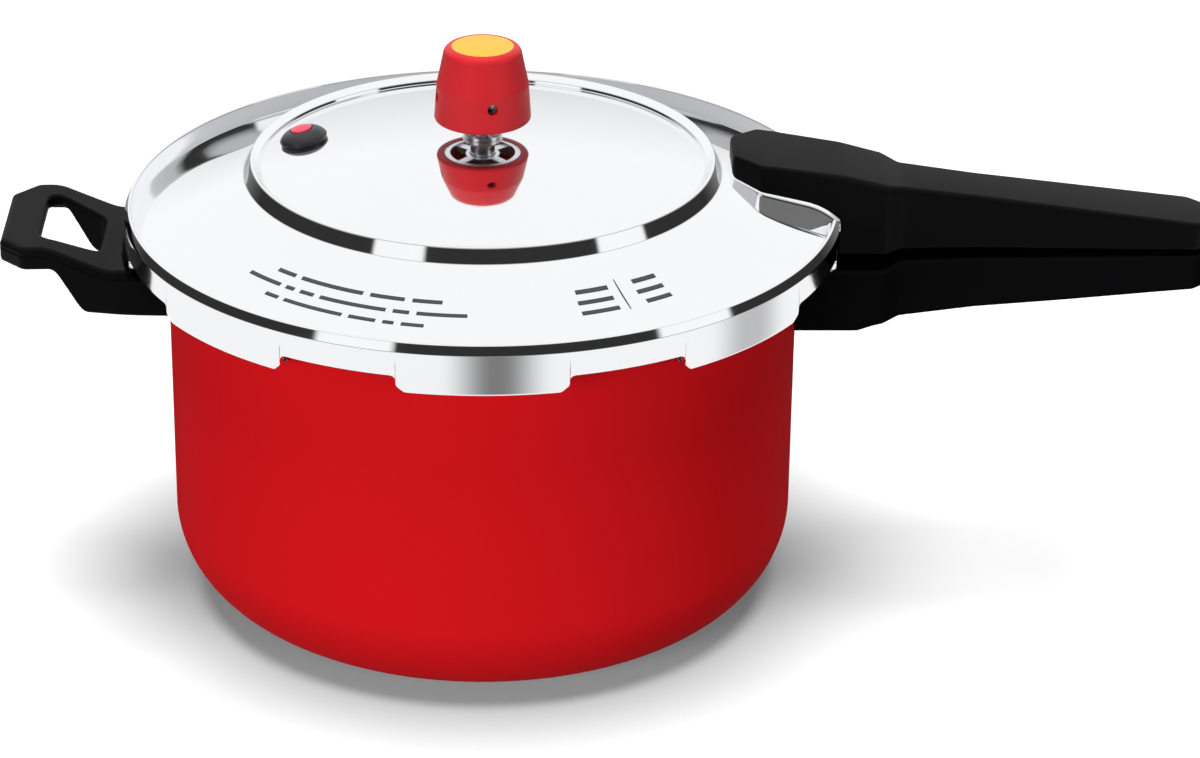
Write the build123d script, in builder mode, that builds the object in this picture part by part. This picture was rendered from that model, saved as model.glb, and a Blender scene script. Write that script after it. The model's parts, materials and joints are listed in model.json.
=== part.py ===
from build123d import *
import os
from math import asin, atan2, cos, hypot, radians, sin, sqrt, tan

# Stovetop pressure cooker with an outer bayonet lid, in millimetres, +Z up.
# The origin is the centre of the pot's base. The long handles point along +X and the
# helper handle along -X. The lid is shown closed, with its handle over the pot's handle.

os.makedirs("parts", exist_ok=True)

# ------------------------------------------------------------------ driving dimensions
# Pot
pot_radius = 112.0
pot_wall = 2.2
base_thickness = 4.0
base_corner = 32.0
flange_top = 134.4
flange_thickness = 2.8
flange_radius = 118.4
tab_radius = 122.8
tab_count = 8
tab_angle = 16.5

# Lid
lid_sheet = 2.4
skirt_radius = 126.8
skirt_bottom = 135.3
lug_bottom = 128.6
lug_lip_radius = 119.4
lug_gap_angle = 19.0
lug_corner = 2.5
rim_top = 147.2
rim_shoulder = 143.2
rim_inner_radius = 124.3
gutter_radius = 123.9
gutter_height = 140.4
annulus_hollow = 2.0
bead_outer = (84.3, 157.8)
bead_crest = (81.3, 163.1)
bead_inner = (79.5, 160.0)
dome_top = 170.4

# Raised pad of the lid under the long handle
pad_inner_x = 87.0
pad_end_half = 10.0
pad_chamfer_x = 97.2
pad_half = 19.0
pad_draft = 16.0
pad_reference = 156.0
pad_floor = 134.0
pad_crown_start = (84.0, 159.2)
pad_crown_bend = (113.0, 152.5)
pad_crown_end = (128.5, 141.5)

# Long handles
handle_end = 258.0
handle_end_half = 9.0
handle_widest_half = 13.5
handle_neck_half = 12.0
handle_shoulder_half = 13.2
handle_block_half = 18.2
handle_block_end = 142.0
handle_shoulder_x = 148.0
upper_inner_x = 87.7
upper_underside = (132.5, 131.9)
lower_top = (126.2, 125.8, 127.6, 129.7)

# Helper handle
helper_end = -169.5
helper_half = 30.0
helper_end_half = 21.0
helper_top = (130.8, 139.8, 139.2)
helper_bottom = (112.2, 115.2, 131.6, 131.2)
lug_clearance_radius = 127.4
lug_clearance_height = 127.6

# Fixings
bracket_plate = 2.0
screw_radius = 2.5
screw_head_radius = 4.5
screw_head_height = 3.0
rivet_radius = 2.4
lower_screw_x = 131.0
lower_screw_seat = 105.0
helper_screw_x = 125.0
helper_screw_seat = 116.0
washer_radius = 5.0

# Regulator weight and vent
weight_bottom = 176.9
weight_top = 204.0
weight_widest = 17.0
weight_bore = 14.0
core_radius = 11.6
disc_radius = 10.9
steam_hole_radius = 1.95
steam_hole_height = 186.0
steam_hole_turn = -77.4
stem_radius = 4.5
stem_top = 184.4
needle_radius = 1.8
running_clearance = 0.06

# Safety valve
valve_x = -63.5
valve_y = 12.0
valve_radius = 8.55
valve_neck = 5.6
pin_radius = 2.0
pin_head_radius = 3.8
pin_travel = 3.0

# ------------------------------------------------------------------ derived sizes
flange_bottom = flange_top - flange_thickness
bore_radius = pot_radius - pot_wall
inner_corner = base_corner - pot_wall
skirt_inner = skirt_radius - lid_sheet
lip_top = lug_bottom + lid_sheet
dome_drop = dome_top - bead_inner[1]
dome_radius = (bead_inner[0] ** 2 + dome_drop ** 2) / (2 * dome_drop)


def dome_height(radius):
    """Height of the lid's central dome at a distance from its axis."""
    return dome_top - dome_radius + sqrt(dome_radius ** 2 - radius ** 2)


def arc_middle(start, end, hollow):
    """Middle point of an arc between two points that sinks below its chord by hollow."""
    run = end[0] - start[0]
    fall = end[1] - start[1]
    chord = hypot(run, fall)
    return (
        (start[0] + end[0]) / 2 + hollow * fall / chord,
        (start[1] + end[1]) / 2 - hollow * run / chord,
    )


def crown_middle(radius, edge_height, top_height):
    """Middle point of a spherical crown's section, from its edge to its top on the axis."""
    rise = top_height - edge_height
    sphere = (radius ** 2 + rise ** 2) / (2 * rise)
    return (radius / 2, top_height - sphere + sqrt(sphere ** 2 - radius ** 2 / 4))


def radial_plane(angle, radius, height):
    """Plane facing outwards from the axis: local X is tangential, local Y is up."""
    turn = radians(angle)
    return Plane(
        origin=(radius * cos(turn), radius * sin(turn), height),
        x_dir=(-sin(turn), cos(turn), 0),
        z_dir=(cos(turn), sin(turn), 0),
    )


def finish(piece, label, colour):
    """Name a finished piece and write it as its own STEP file."""
    piece.part.label = label
    piece.part.color = Color(*colour)
    export_step(piece.part, f"parts/{label}.step")


lacquer_red = (0.75, 0.07, 0.09)
moulded_black = (0.05, 0.05, 0.05)
polished_metal = (0.82, 0.83, 0.85)
brass = (0.80, 0.65, 0.30)
rubber_grey = (0.30, 0.30, 0.32)
cap_red = (0.80, 0.10, 0.13)
disc_yellow = (0.98, 0.75, 0.15)
pin_pink = (0.88, 0.25, 0.40)

# ------------------------------------------------------------------ handle brackets
lower_bracket_height = 112.5
helper_bracket_height = 119.8
lower_rivet_angle = 4.7
helper_rivet_angle = 5.6


def bracket_form(side, height, plate_half, plate_rise, tongue_half, tongue_rise, reach, screw_x):
    """Curved plate against the pot's wall with a tongue that carries the handle's screw."""
    with BuildPart() as form:
        with BuildSketch(Plane.XY.offset(height - plate_rise)):
            Circle(pot_radius + bracket_plate)
            with Locations((side * pot_radius, 0)):
                Rectangle(40, 2 * plate_half, mode=Mode.INTERSECT)
        extrude(amount=2 * plate_rise)
        with BuildSketch(Plane.XY.offset(height - tongue_rise)):
            with Locations((side * (pot_radius + reach) / 2, 0)):
                Rectangle(reach - pot_radius + 2, 2 * tongue_half)
        extrude(amount=2 * tongue_rise)
        with BuildSketch(Plane.XY.offset(height - plate_rise)):
            Circle(pot_radius)
        extrude(amount=2 * plate_rise, mode=Mode.SUBTRACT)
        with BuildSketch(Plane.XY.offset(height - tongue_rise)):
            with Locations((side * screw_x, 0)):
                Circle(screw_radius)
        extrude(amount=2 * tongue_rise, mode=Mode.SUBTRACT)
    return form.part


def rivet_group(turns, height):
    """Rivets through the pot's wall: a domed head inside and a flat tail on the plate."""
    with BuildPart() as group:
        for turn in turns:
            inside = radial_plane(turn, bore_radius, height)
            with BuildSketch(inside):
                Circle(rivet_radius)
            extrude(amount=pot_wall + bracket_plate + 0.5)
            with BuildSketch(inside):
                Circle(4.5)
            extrude(amount=-1.6, taper=30)
            with BuildSketch(radial_plane(turn, pot_radius + bracket_plate, height)):
                Circle(3.6)
            extrude(amount=1.2)
    return group.part


def handle_screw(x_place, seat_height, length):
    """Cross-recess screw driven upwards, with its head at the seat height."""
    with BuildPart() as screw:
        with BuildSketch(Plane.XY.offset(seat_height - screw_head_height)):
            with Locations((x_place, 0)):
                Circle(screw_head_radius)
        extrude(amount=screw_head_height)
        chamfer(screw.faces().sort_by(Axis.Z)[0].edges(), length=0.8)
        with BuildSketch(Plane.XY.offset(seat_height)):
            with Locations((x_place, 0)):
                Circle(screw_radius)
        extrude(amount=length)
        with BuildSketch(Plane.XY.offset(seat_height - screw_head_height)):
            with Locations((x_place, 0)):
                Rectangle(5.0, 1.1)
                Rectangle(1.1, 5.0)
        extrude(amount=1.4, mode=Mode.SUBTRACT)
    return screw.part


lower_bracket_form = bracket_form(
    1, lower_bracket_height, 13.0, 10.0, 5.5, 4.5, 139.0, lower_screw_x
)
helper_bracket_form = bracket_form(
    -1, helper_bracket_height, 16.0, 5.0, 7.0, 3.4, 131.5, helper_screw_x
)
lower_rivet_form = rivet_group((-lower_rivet_angle, lower_rivet_angle), lower_bracket_height)
helper_rivet_form = rivet_group(
    (180 - helper_rivet_angle, 180 + helper_rivet_angle), helper_bracket_height
)
lower_screw_form = handle_screw(lower_screw_x, lower_screw_seat, 12.0)
helper_screw_form = handle_screw(-helper_screw_x, helper_screw_seat, 7.2)

with BuildPart() as lower_handle_bracket:
    add(lower_bracket_form)
    add(lower_rivet_form, mode=Mode.SUBTRACT)
finish(lower_handle_bracket, "lower_handle_bracket", polished_metal)

with BuildPart() as helper_handle_bracket:
    add(helper_bracket_form)
    add(helper_rivet_form, mode=Mode.SUBTRACT)
finish(helper_handle_bracket, "helper_handle_bracket", polished_metal)

with BuildPart() as lower_handle_rivets:
    add(lower_rivet_form)
finish(lower_handle_rivets, "lower_handle_rivets", polished_metal)

with BuildPart() as helper_handle_rivets:
    add(helper_rivet_form)
finish(helper_handle_rivets, "helper_handle_rivets", polished_metal)

with BuildPart() as lower_handle_screw:
    add(lower_screw_form)
finish(lower_handle_screw, "lower_handle_screw", polished_metal)

with BuildPart() as helper_handle_screw:
    add(helper_screw_form)
finish(helper_handle_screw, "helper_handle_screw", polished_metal)

# ------------------------------------------------------------------ pot
with BuildPart() as pot_body:
    with BuildSketch(Plane.XZ):
        with BuildLine():
            base_line = Line((0, 0), (pot_radius - base_corner, 0))
            TangentArc(base_line @ 1, (pot_radius, base_corner), tangent=(1, 0))
            rim_line = FilletPolyline(
                (pot_radius, base_corner),
                (pot_radius, flange_bottom),
                (flange_radius, flange_bottom),
                (flange_radius, flange_top),
                (bore_radius, flange_top),
                (bore_radius, base_thickness + inner_corner),
                radius=[2.0, 0.8, 0.8, 1.0],
            )
            floor_arc = TangentArc(
                rim_line @ 1, (bore_radius - inner_corner, base_thickness), tangent=(0, -1)
            )
            Line(floor_arc @ 1, (0, base_thickness))
            Line((0, base_thickness), (0, 0))
        make_face()
    revolve(axis=Axis.Z)
    tab_half = tab_radius * sin(radians(tab_angle / 2))
    with BuildSketch(Plane.XY.offset(flange_bottom)):
        with PolarLocations((tab_radius + pot_radius) / 2 + 2, tab_count):
            Rectangle(tab_radius - pot_radius, 2 * tab_half)
        Circle(tab_radius, mode=Mode.INTERSECT)
    extrude(amount=flange_thickness)
    tab_corners = pot_body.edges().filter_by(Axis.Z).filter_by(
        lambda edge: hypot(edge.center().X, edge.center().Y) > flange_radius + 2
    )
    fillet(tab_corners, radius=2.0)
    add(lower_rivet_form, mode=Mode.SUBTRACT)
    add(helper_rivet_form, mode=Mode.SUBTRACT)
finish(pot_body, "pot_body", lacquer_red)


def long_handle_plan(height, inner_points):
    """Plan of a long handle: wide block at the pot, a neck, and a widening grip."""
    outer_points = [
        (handle_block_end, handle_block_half),
        (handle_shoulder_x, handle_shoulder_half),
        (175, handle_neck_half),
        (252, handle_widest_half),
        (handle_end, handle_end_half),
    ]
    near_side = inner_points + outer_points
    far_side = [(x, -y) for x, y in reversed(near_side)]
    with BuildPart() as form:
        with BuildSketch(Plane.XY.offset(height)):
            with BuildLine():
                Polyline(*near_side, *far_side, close=True)
            make_face()
        extrude(amount=80)
        fillet(form.edges().filter_by(Axis.Z), radius=3.0)
    return form.part


def side_profile(points, half_width):
    """Block cut to a side outline drawn in the X-Z plane."""
    with BuildPart() as form:
        with BuildSketch(Plane.XZ):
            with BuildLine():
                Polyline(*points, close=True)
            make_face()
        extrude(amount=half_width, both=True)
    return form.part


# ------------------------------------------------------------------ long handle on the pot
lower_plan = long_handle_plan(90.0, [(100, handle_block_half)])
lower_side = side_profile(
    [
        (105, lower_top[0]), (136, lower_top[1]), (142, lower_top[1]),
        (handle_shoulder_x, lower_top[2]), (handle_end, lower_top[3]),
        (handle_end, 117), (241, 115.4), (208, 112), (175, 109), (handle_shoulder_x, 106),
        (140, 104.7), (133, 102.3), (127, 100.2), (105, 100),
    ],
    30,
)
with BuildPart() as lower_handle:
    add(lower_plan)
    add(lower_side, mode=Mode.INTERSECT)
    with BuildSketch(Plane.XY.offset(80)):
        Circle(pot_radius)
    extrude(amount=60, mode=Mode.SUBTRACT)
    add(lower_bracket_form, mode=Mode.SUBTRACT)
    add(lower_rivet_form, mode=Mode.SUBTRACT)
    with BuildSketch(Plane.XY.offset(lower_screw_seat)):
        with Locations((lower_screw_x, 0)):
            Circle(screw_head_radius + 0.4)
    extrude(amount=-9.0, mode=Mode.SUBTRACT)
    add(lower_screw_form, mode=Mode.SUBTRACT)
finish(lower_handle, "lower_handle", moulded_black)

# ------------------------------------------------------------------ helper handle
with BuildPart() as helper_side:
    with BuildSketch(Plane.XZ):
        with BuildLine():
            helper_outline = FilletPolyline(
                (-105, helper_top[0]),
                (-131.8, helper_top[0]),
                (-152.8, helper_top[1]),
                (helper_end, helper_top[2]),
                (helper_end, helper_bottom[3]),
                (-149.8, helper_bottom[2]),
                (-140.4, helper_bottom[1]),
                (-105, helper_bottom[0]),
                radius=[25.0, 25.0, 1.5, 1.5, 7.0, 3.0],
            )
            Line(helper_outline @ 1, helper_outline @ 0)
        make_face()
    extrude(amount=40, both=True)
with BuildPart() as helper_handle:
    with BuildSketch(Plane.XY.offset(100)):
        with BuildLine():
            Polyline(
                (-100, 28), (-128, helper_half), (-161, helper_half), (helper_end, helper_end_half),
                (helper_end, -helper_end_half), (-161, -helper_half), (-128, -helper_half), (-100, -28),
                close=True,
            )
        make_face()
    extrude(amount=50)
    fillet(helper_handle.edges().filter_by(Axis.Z), radius=3.0)
    add(helper_side.part, mode=Mode.INTERSECT)
    with BuildSketch(Plane.XY.offset(100)):
        with BuildLine():
            Polyline((-136.5, 15), (-156, 20.5), (-156, -20.5), (-136.5, -15), close=True)
        finger_hole = make_face()
        fillet(finger_hole.vertices(), radius=4.5)
    extrude(amount=50, mode=Mode.SUBTRACT)
    with BuildSketch(Plane.XY.offset(100)):
        Circle(pot_radius)
    extrude(amount=50, mode=Mode.SUBTRACT)
    with BuildSketch(Plane.XY.offset(lug_clearance_height)):
        Circle(lug_clearance_radius)
    extrude(amount=50, mode=Mode.SUBTRACT)
    add(helper_bracket_form, mode=Mode.SUBTRACT)
    add(helper_rivet_form, mode=Mode.SUBTRACT)
    with BuildSketch(Plane.XY.offset(helper_screw_seat)):
        with Locations((-helper_screw_x, 0)):
            Circle(screw_head_radius + 0.4)
    extrude(amount=-6.0, mode=Mode.SUBTRACT)
    add(helper_screw_form, mode=Mode.SUBTRACT)
finish(helper_handle, "helper_handle", moulded_black)

# ------------------------------------------------------------------ gasket
gasket_gap = 0.3
with BuildPart() as gasket:
    with BuildSketch(Plane.XZ):
        with BuildLine():
            Polyline(
                (122.6, flange_top + gasket_gap), (122.6, 137.6), (113.4, 140.4), (113.4, 138.8),
                (118.6, 137.1), (118.6, flange_top + gasket_gap + 1.4),
                (113.4, flange_top + gasket_gap + 1.4), (113.4, flange_top + gasket_gap), close=True,
            )
        make_face()
    revolve(axis=Axis.Z)
finish(gasket, "gasket", rubber_grey)


# ------------------------------------------------------------------ lid
def pad_block(inset):
    """Raised pad under the handle, or its hollow when it is drawn in by the sheet."""
    slope = (pad_crown_bend[0] - pad_crown_start[0], pad_crown_bend[1] - pad_crown_start[1])
    spread = (pad_reference - pad_floor) * tan(radians(pad_draft))
    with BuildPart() as form:
        with BuildSketch(Plane.XY.offset(pad_floor)):
            with BuildLine():
                Polyline(
                    (pad_inner_x, pad_end_half), (pad_chamfer_x, pad_half), (150, pad_half),
                    (150, -pad_half), (pad_chamfer_x, -pad_half), (pad_inner_x, -pad_end_half), close=True,
                )
            make_face()
            offset(amount=spread - inset, kind=Kind.INTERSECTION)
        extrude(amount=34, taper=pad_draft)
        with BuildSketch(Plane.XZ):
            with BuildLine():
                crown_line = Line(
                    (pad_crown_start[0] - 20, pad_crown_start[1] - inset - 20 * slope[1] / slope[0]),
                    (pad_crown_bend[0], pad_crown_bend[1] - inset),
                )
                crown_arc = TangentArc(
                    crown_line @ 1, (pad_crown_end[0], pad_crown_end[1] - inset), tangent=slope
                )
                Polyline(
                    crown_arc @ 1, (pad_crown_end[0], pad_floor), (pad_crown_start[0] - 20, pad_floor),
                    crown_line @ 0,
                )
            make_face()
        extrude(amount=60, both=True, mode=Mode.INTERSECT)
        with BuildSketch(Plane.XY.offset(pad_floor)):
            Circle(skirt_radius - inset)
        extrude(amount=40, mode=Mode.INTERSECT)
    return form.part


pad_outside = pad_block(0)
pad_hollow = pad_block(lid_sheet)

# Frame of the safety valve, square to the dome where it stands
valve_reach = hypot(valve_x, valve_y)
valve_tilt = asin(valve_reach / dome_radius)
valve_outward = (valve_x / valve_reach, valve_y / valve_reach)
valve_axis = (sin(valve_tilt) * valve_outward[0], sin(valve_tilt) * valve_outward[1], cos(valve_tilt))
valve_seat = (valve_x, valve_y, dome_height(valve_reach))
valve_frame = Plane(origin=valve_seat, x_dir=(-valve_outward[1], valve_outward[0], 0), z_dir=valve_axis)
valve_side = (valve_frame.y_dir.X, valve_frame.y_dir.Y, valve_frame.y_dir.Z)
valve_section = Plane(origin=valve_seat, x_dir=valve_frame.x_dir, z_dir=[-n for n in valve_side])
valve_line = Axis(origin=valve_seat, direction=valve_axis)

# Frame of the long handle's screws, square to the pad's sloping top
pad_slope = atan2(pad_crown_start[1] - pad_crown_bend[1], pad_crown_bend[0] - pad_crown_start[0])
pad_screw_places = (97.0, 108.0)
pad_screw_frames = [
    Plane(
        origin=(
            x - lid_sheet * sin(pad_slope),
            0,
            pad_crown_start[1] - (x - pad_crown_start[0]) * tan(pad_slope) - lid_sheet * cos(pad_slope),
        ),
        x_dir=(cos(pad_slope), 0, -sin(pad_slope)),
        z_dir=(sin(pad_slope), 0, cos(pad_slope)),
    )
    for x in pad_screw_places
]

annulus_middle = arc_middle(bead_outer, (gutter_radius, gutter_height), annulus_hollow)
under_outer = (gutter_radius - 0.8, gutter_height - lid_sheet + 0.1)
under_inner = (bead_outer[0] - 1.2, bead_outer[1] - lid_sheet + 0.3)
under_middle = arc_middle(under_inner, under_outer, annulus_hollow)
under_dome_edge = 79.0

# Space above the pad's crown, where the rim is pressed flat for the handle
with BuildPart() as rim_relief:
    with BuildSketch(Plane.XZ):
        with BuildLine():
            relief_arc = TangentArc(
                pad_crown_bend, pad_crown_end,
                tangent=(pad_crown_bend[0] - pad_crown_start[0], pad_crown_bend[1] - pad_crown_start[1]),
            )
            Polyline(relief_arc @ 1, (pad_crown_end[0], 160), (pad_crown_bend[0], 160), relief_arc @ 0)
        make_face()
    extrude(amount=pad_half + 2, both=True)

with BuildPart() as lid_shell:
    with BuildSketch(Plane.XZ):
        with BuildLine():
            ThreePointArc(
                (0, dome_top), (bead_inner[0] / 2, dome_height(bead_inner[0] / 2)), bead_inner
            )
            ThreePointArc(bead_inner, bead_crest, bead_outer)
            ThreePointArc(bead_outer, annulus_middle, (gutter_radius, gutter_height))
            Line((gutter_radius, gutter_height), (rim_inner_radius, rim_top - 0.7))
            ThreePointArc(
                (rim_inner_radius, rim_top - 0.7), (rim_inner_radius + 0.25, rim_top - 0.15),
                (rim_inner_radius + 0.8, rim_top),
            )
            TangentArc(
                (rim_inner_radius + 0.8, rim_top), (skirt_radius, rim_shoulder + 1.6), tangent=(1, 0)
            )
            FilletPolyline(
                (skirt_radius, rim_shoulder + 1.6), (skirt_radius, lug_bottom), (0, lug_bottom),
                radius=lug_corner,
            )
            Line((0, lug_bottom), (0, dome_top))
        make_face()
    revolve(axis=Axis.Z)
    add(pad_outside)
    add(rim_relief.part, mode=Mode.SUBTRACT)
    with BuildSketch(Plane.XZ):
        with BuildLine():
            under_dome_middle = under_dome_edge / 2
            ThreePointArc(
                (0, dome_top - lid_sheet),
                (under_dome_middle, dome_height(under_dome_middle) - lid_sheet),
                (under_dome_edge, dome_height(under_dome_edge) - lid_sheet),
            )
            Line((under_dome_edge, dome_height(under_dome_edge) - lid_sheet), under_inner)
            ThreePointArc(under_inner, under_middle, under_outer)
            Polyline(
                under_outer, (skirt_inner, 137.4), (skirt_inner, lip_top), (lug_lip_radius, lip_top),
                (lug_lip_radius, 100), (0, 100), (0, dome_top - lid_sheet),
            )
        make_face()
    revolve(axis=Axis.Z, mode=Mode.SUBTRACT)
    add(pad_hollow, mode=Mode.SUBTRACT)
    gap_half = skirt_radius * sin(radians(lug_gap_angle / 2))
    for gap in range(tab_count):
        gap_turn = (gap + 0.5) * 360 / tab_count
        with BuildSketch(radial_plane(gap_turn, pot_radius, 0)):
            with BuildLine():
                FilletPolyline(
                    (-gap_half - 3.6, lug_bottom - 1), (-gap_half, lug_bottom + 3),
                    (-gap_half, skirt_bottom), (gap_half, skirt_bottom),
                    (gap_half, lug_bottom + 3), (gap_half + 3.6, lug_bottom - 1),
                    radius=[1.5, 2.0, 2.0, 1.5],
                )
                Line((gap_half + 3.6, lug_bottom - 1), (-gap_half - 3.6, lug_bottom - 1))
            make_face()
        extrude(amount=30, mode=Mode.SUBTRACT)
    with BuildSketch(Plane.XY.offset(160)):
        Circle(stem_radius + 0.5)
    extrude(amount=20, mode=Mode.SUBTRACT)
    with BuildSketch(valve_frame):
        Circle(valve_neck)
    extrude(amount=6, both=True, mode=Mode.SUBTRACT)
    for frame in pad_screw_frames:
        with BuildSketch(frame):
            Circle(screw_radius)
        extrude(amount=3.5, both=True, mode=Mode.SUBTRACT)
finish(lid_shell, "lid_shell", polished_metal)

# ------------------------------------------------------------------ long handle on the lid
with BuildPart() as upper_handle_washers:
    for frame in pad_screw_frames:
        with BuildSketch(frame):
            Circle(washer_radius)
            Circle(screw_radius, mode=Mode.SUBTRACT)
        extrude(amount=-1.0)
finish(upper_handle_washers, "upper_handle_washers", polished_metal)

with BuildPart() as upper_handle_screws:
    for frame in pad_screw_frames:
        with BuildSketch(frame.offset(-1.0)):
            Circle(screw_head_radius)
        extrude(amount=-3.0, taper=12)
        with BuildSketch(frame.offset(-1.0)):
            Circle(screw_radius)
        extrude(amount=10.5)
        with BuildSketch(frame.offset(-4.0)):
            Rectangle(5.0, 1.1)
            Rectangle(1.1, 5.0)
        extrude(amount=1.4, mode=Mode.SUBTRACT)
finish(upper_handle_screws, "upper_handle_screws", polished_metal)

insert_radius = 3.8
insert_length = 7.2
with BuildPart() as upper_handle_inserts:
    for frame in pad_screw_frames:
        with BuildSketch(frame.offset(lid_sheet)):
            RegularPolygon(insert_radius, 6)
            Circle(screw_radius, mode=Mode.SUBTRACT)
        extrude(amount=insert_length)
finish(upper_handle_inserts, "upper_handle_inserts", brass)

upper_plan = long_handle_plan(125.0, [(upper_inner_x, 9.4), (97.5, handle_block_half)])
upper_side = side_profile(
    [
        (upper_inner_x - 2, 140), (upper_inner_x - 2, 166.5), (98, 165.7), (103, 165.1), (127.5, 161.3),
        (handle_block_end, 157.5), (handle_shoulder_x, 155.4), (175, 151.7), (249, 142.1),
        (handle_end, 140.9), (handle_end, upper_underside[1]), (skirt_radius, upper_underside[0]),
        (110, upper_underside[0]),
    ],
    30,
)
with BuildPart() as handle_bed:
    with BuildSketch(Plane.XZ):
        with BuildLine():
            bed_slope = (pad_crown_bend[0] - pad_crown_start[0], pad_crown_bend[1] - pad_crown_start[1])
            bed_line = Line((64, pad_crown_start[1] - 20 * bed_slope[1] / bed_slope[0]), pad_crown_bend)
            bed_arc = TangentArc(bed_line @ 1, pad_crown_end, tangent=bed_slope)
            Polyline(bed_arc @ 1, (pad_crown_end[0], 110), (64, 110), bed_line @ 0)
        make_face()
    extrude(amount=40, both=True)
    with BuildSketch(Plane.XY.offset(110)):
        Circle(skirt_radius)
    extrude(amount=60, mode=Mode.INTERSECT)
with BuildPart() as upper_handle:
    add(upper_plan)
    add(upper_side, mode=Mode.INTERSECT)
    add(handle_bed.part, mode=Mode.SUBTRACT)
    for frame in pad_screw_frames:
        with BuildSketch(frame.offset(lid_sheet)):
            Circle(screw_radius + 0.2)
        extrude(amount=7.6, mode=Mode.SUBTRACT)
    add(upper_handle_inserts.part, mode=Mode.SUBTRACT)
finish(upper_handle, "upper_handle", moulded_black)

# ------------------------------------------------------------------ vent in the lid's centre
seal_radius = 9.5
seal_top = dome_height(seal_radius) - lid_sheet
stem_head_top = seal_top - 1.2
stem_head_height = 4.0
vent_bore = 1.5
with BuildPart() as vent_stem:
    with BuildSketch(Plane.XY.offset(stem_head_top - stem_head_height)):
        RegularPolygon(9.2, 6)
    extrude(amount=stem_head_height)
    with BuildSketch(Plane.XY.offset(stem_head_top - stem_head_height - 3.0)):
        Circle(6.0)
    extrude(amount=3.0)
    with BuildSketch(Plane.XY.offset(stem_head_top)):
        Circle(stem_radius)
    extrude(amount=stem_top - stem_head_top)
    chamfer(vent_stem.faces().sort_by(Axis.Z)[-1].edges(), length=1.2)
    with BuildSketch(Plane.XZ):
        with BuildLine():
            Polyline(
                (0, 150), (vent_bore, 150), (vent_bore, stem_top - 1.4), (2.9, stem_top), (2.9, 190),
                (0, 190), close=True,
            )
        make_face()
    revolve(axis=Axis.Z, mode=Mode.SUBTRACT)
finish(vent_stem, "vent_stem", polished_metal)

with BuildPart() as vent_seal:
    with BuildSketch(Plane.XY.offset(stem_head_top)):
        Circle(seal_radius)
        Circle(stem_radius, mode=Mode.SUBTRACT)
    extrude(amount=seal_top - stem_head_top)
finish(vent_seal, "vent_seal", rubber_grey)

with BuildPart() as vent_nut:
    with BuildSketch(Plane.XY.offset(dome_top)):
        Circle(7.0)
        Circle(stem_radius, mode=Mode.SUBTRACT)
    extrude(amount=1.8)
    chamfer(vent_nut.faces().sort_by(Axis.Z)[-1].edges().sort_by(SortBy.LENGTH)[-1], length=0.5)
    with BuildSketch(Plane.XY.offset(dome_top + 1.0)):
        with PolarLocations(7.0, 4):
            Rectangle(2.4, 1.6)
    extrude(amount=1.0, mode=Mode.SUBTRACT)
finish(vent_nut, "vent_nut", polished_metal)

guard_top = stem_head_top - stem_head_height
with BuildPart() as vent_guard:
    with BuildSketch(Plane.XY.offset(guard_top - 5.5)):
        Circle(7.2)
    extrude(amount=5.5)
    with BuildSketch(Plane.XY.offset(guard_top - 3.0)):
        Circle(6.0)
    extrude(amount=3.0, mode=Mode.SUBTRACT)
    with BuildSketch(Plane.XY.offset(guard_top - 4.7)):
        Circle(5.6)
    extrude(amount=2.0, mode=Mode.SUBTRACT)
    with BuildSketch(Plane.XY.offset(guard_top - 5.5)):
        with PolarLocations(3.4, 6):
            Circle(0.9)
    extrude(amount=2.0, mode=Mode.SUBTRACT)
    for side_hole in range(8):
        with BuildSketch(radial_plane(side_hole * 45, 4.0, guard_top - 3.9)):
            Circle(0.7)
        extrude(amount=5.0, mode=Mode.SUBTRACT)
finish(vent_guard, "vent_guard", polished_metal)

# ------------------------------------------------------------------ regulator weight
shoulder_bottom = stem_top + 0.9
shoulder_top = shoulder_bottom + 1.2
core_bottom = shoulder_top + 0.35
chamber_top = steam_hole_height + steam_hole_radius + 0.25
core_top = weight_top - 3.4
clip_floor = core_top - 4.2
needle_top = core_top - 1.2

with BuildPart() as vent_needle:
    with BuildSketch(Plane.XZ):
        with BuildLine():
            Polyline(
                (0, stem_top - 1.6), (0.9, stem_top - 1.6), (2.55, stem_top + 0.2),
                (2.55, shoulder_bottom), (3.6, shoulder_bottom), (3.6, shoulder_top),
                (needle_radius, shoulder_top), (needle_radius, clip_floor + 0.5),
                (1.3, clip_floor + 0.5), (1.3, clip_floor + 1.1),
                (needle_radius, clip_floor + 1.1), (needle_radius, needle_top), (0, needle_top),
                close=True,
            )
        make_face()
    revolve(axis=Axis.Z)
finish(vent_needle, "vent_needle", polished_metal)

with BuildPart() as needle_clip:
    with BuildSketch(Plane.XY.offset(clip_floor + 0.5)):
        Circle(3.4)
        Circle(1.3, mode=Mode.SUBTRACT)
        with Locations((3.0, 0)):
            Rectangle(4.0, 1.6, mode=Mode.SUBTRACT)
    extrude(amount=0.6)
finish(needle_clip, "needle_clip", polished_metal)

weight_screw_reach = 7.5
screw_places = ((weight_screw_reach, 0), (-weight_screw_reach, 0))
with BuildPart() as weight_screws:
    with BuildSketch(Plane.XY.offset(core_top - 5.0)):
        with Locations(*screw_places):
            Circle(1.5)
    extrude(amount=5.5)
    with BuildSketch(Plane.XY.offset(core_top + 0.5)):
        with Locations(*screw_places):
            Circle(2.8)
    extrude(amount=1.5)
    with BuildSketch(Plane.XY.offset(core_top + 1.2)):
        with Locations(*screw_places):
            Rectangle(3.4, 0.8)
            Rectangle(0.8, 3.4)
    extrude(amount=1.0, mode=Mode.SUBTRACT)
finish(weight_screws, "weight_screws", polished_metal)

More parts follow.
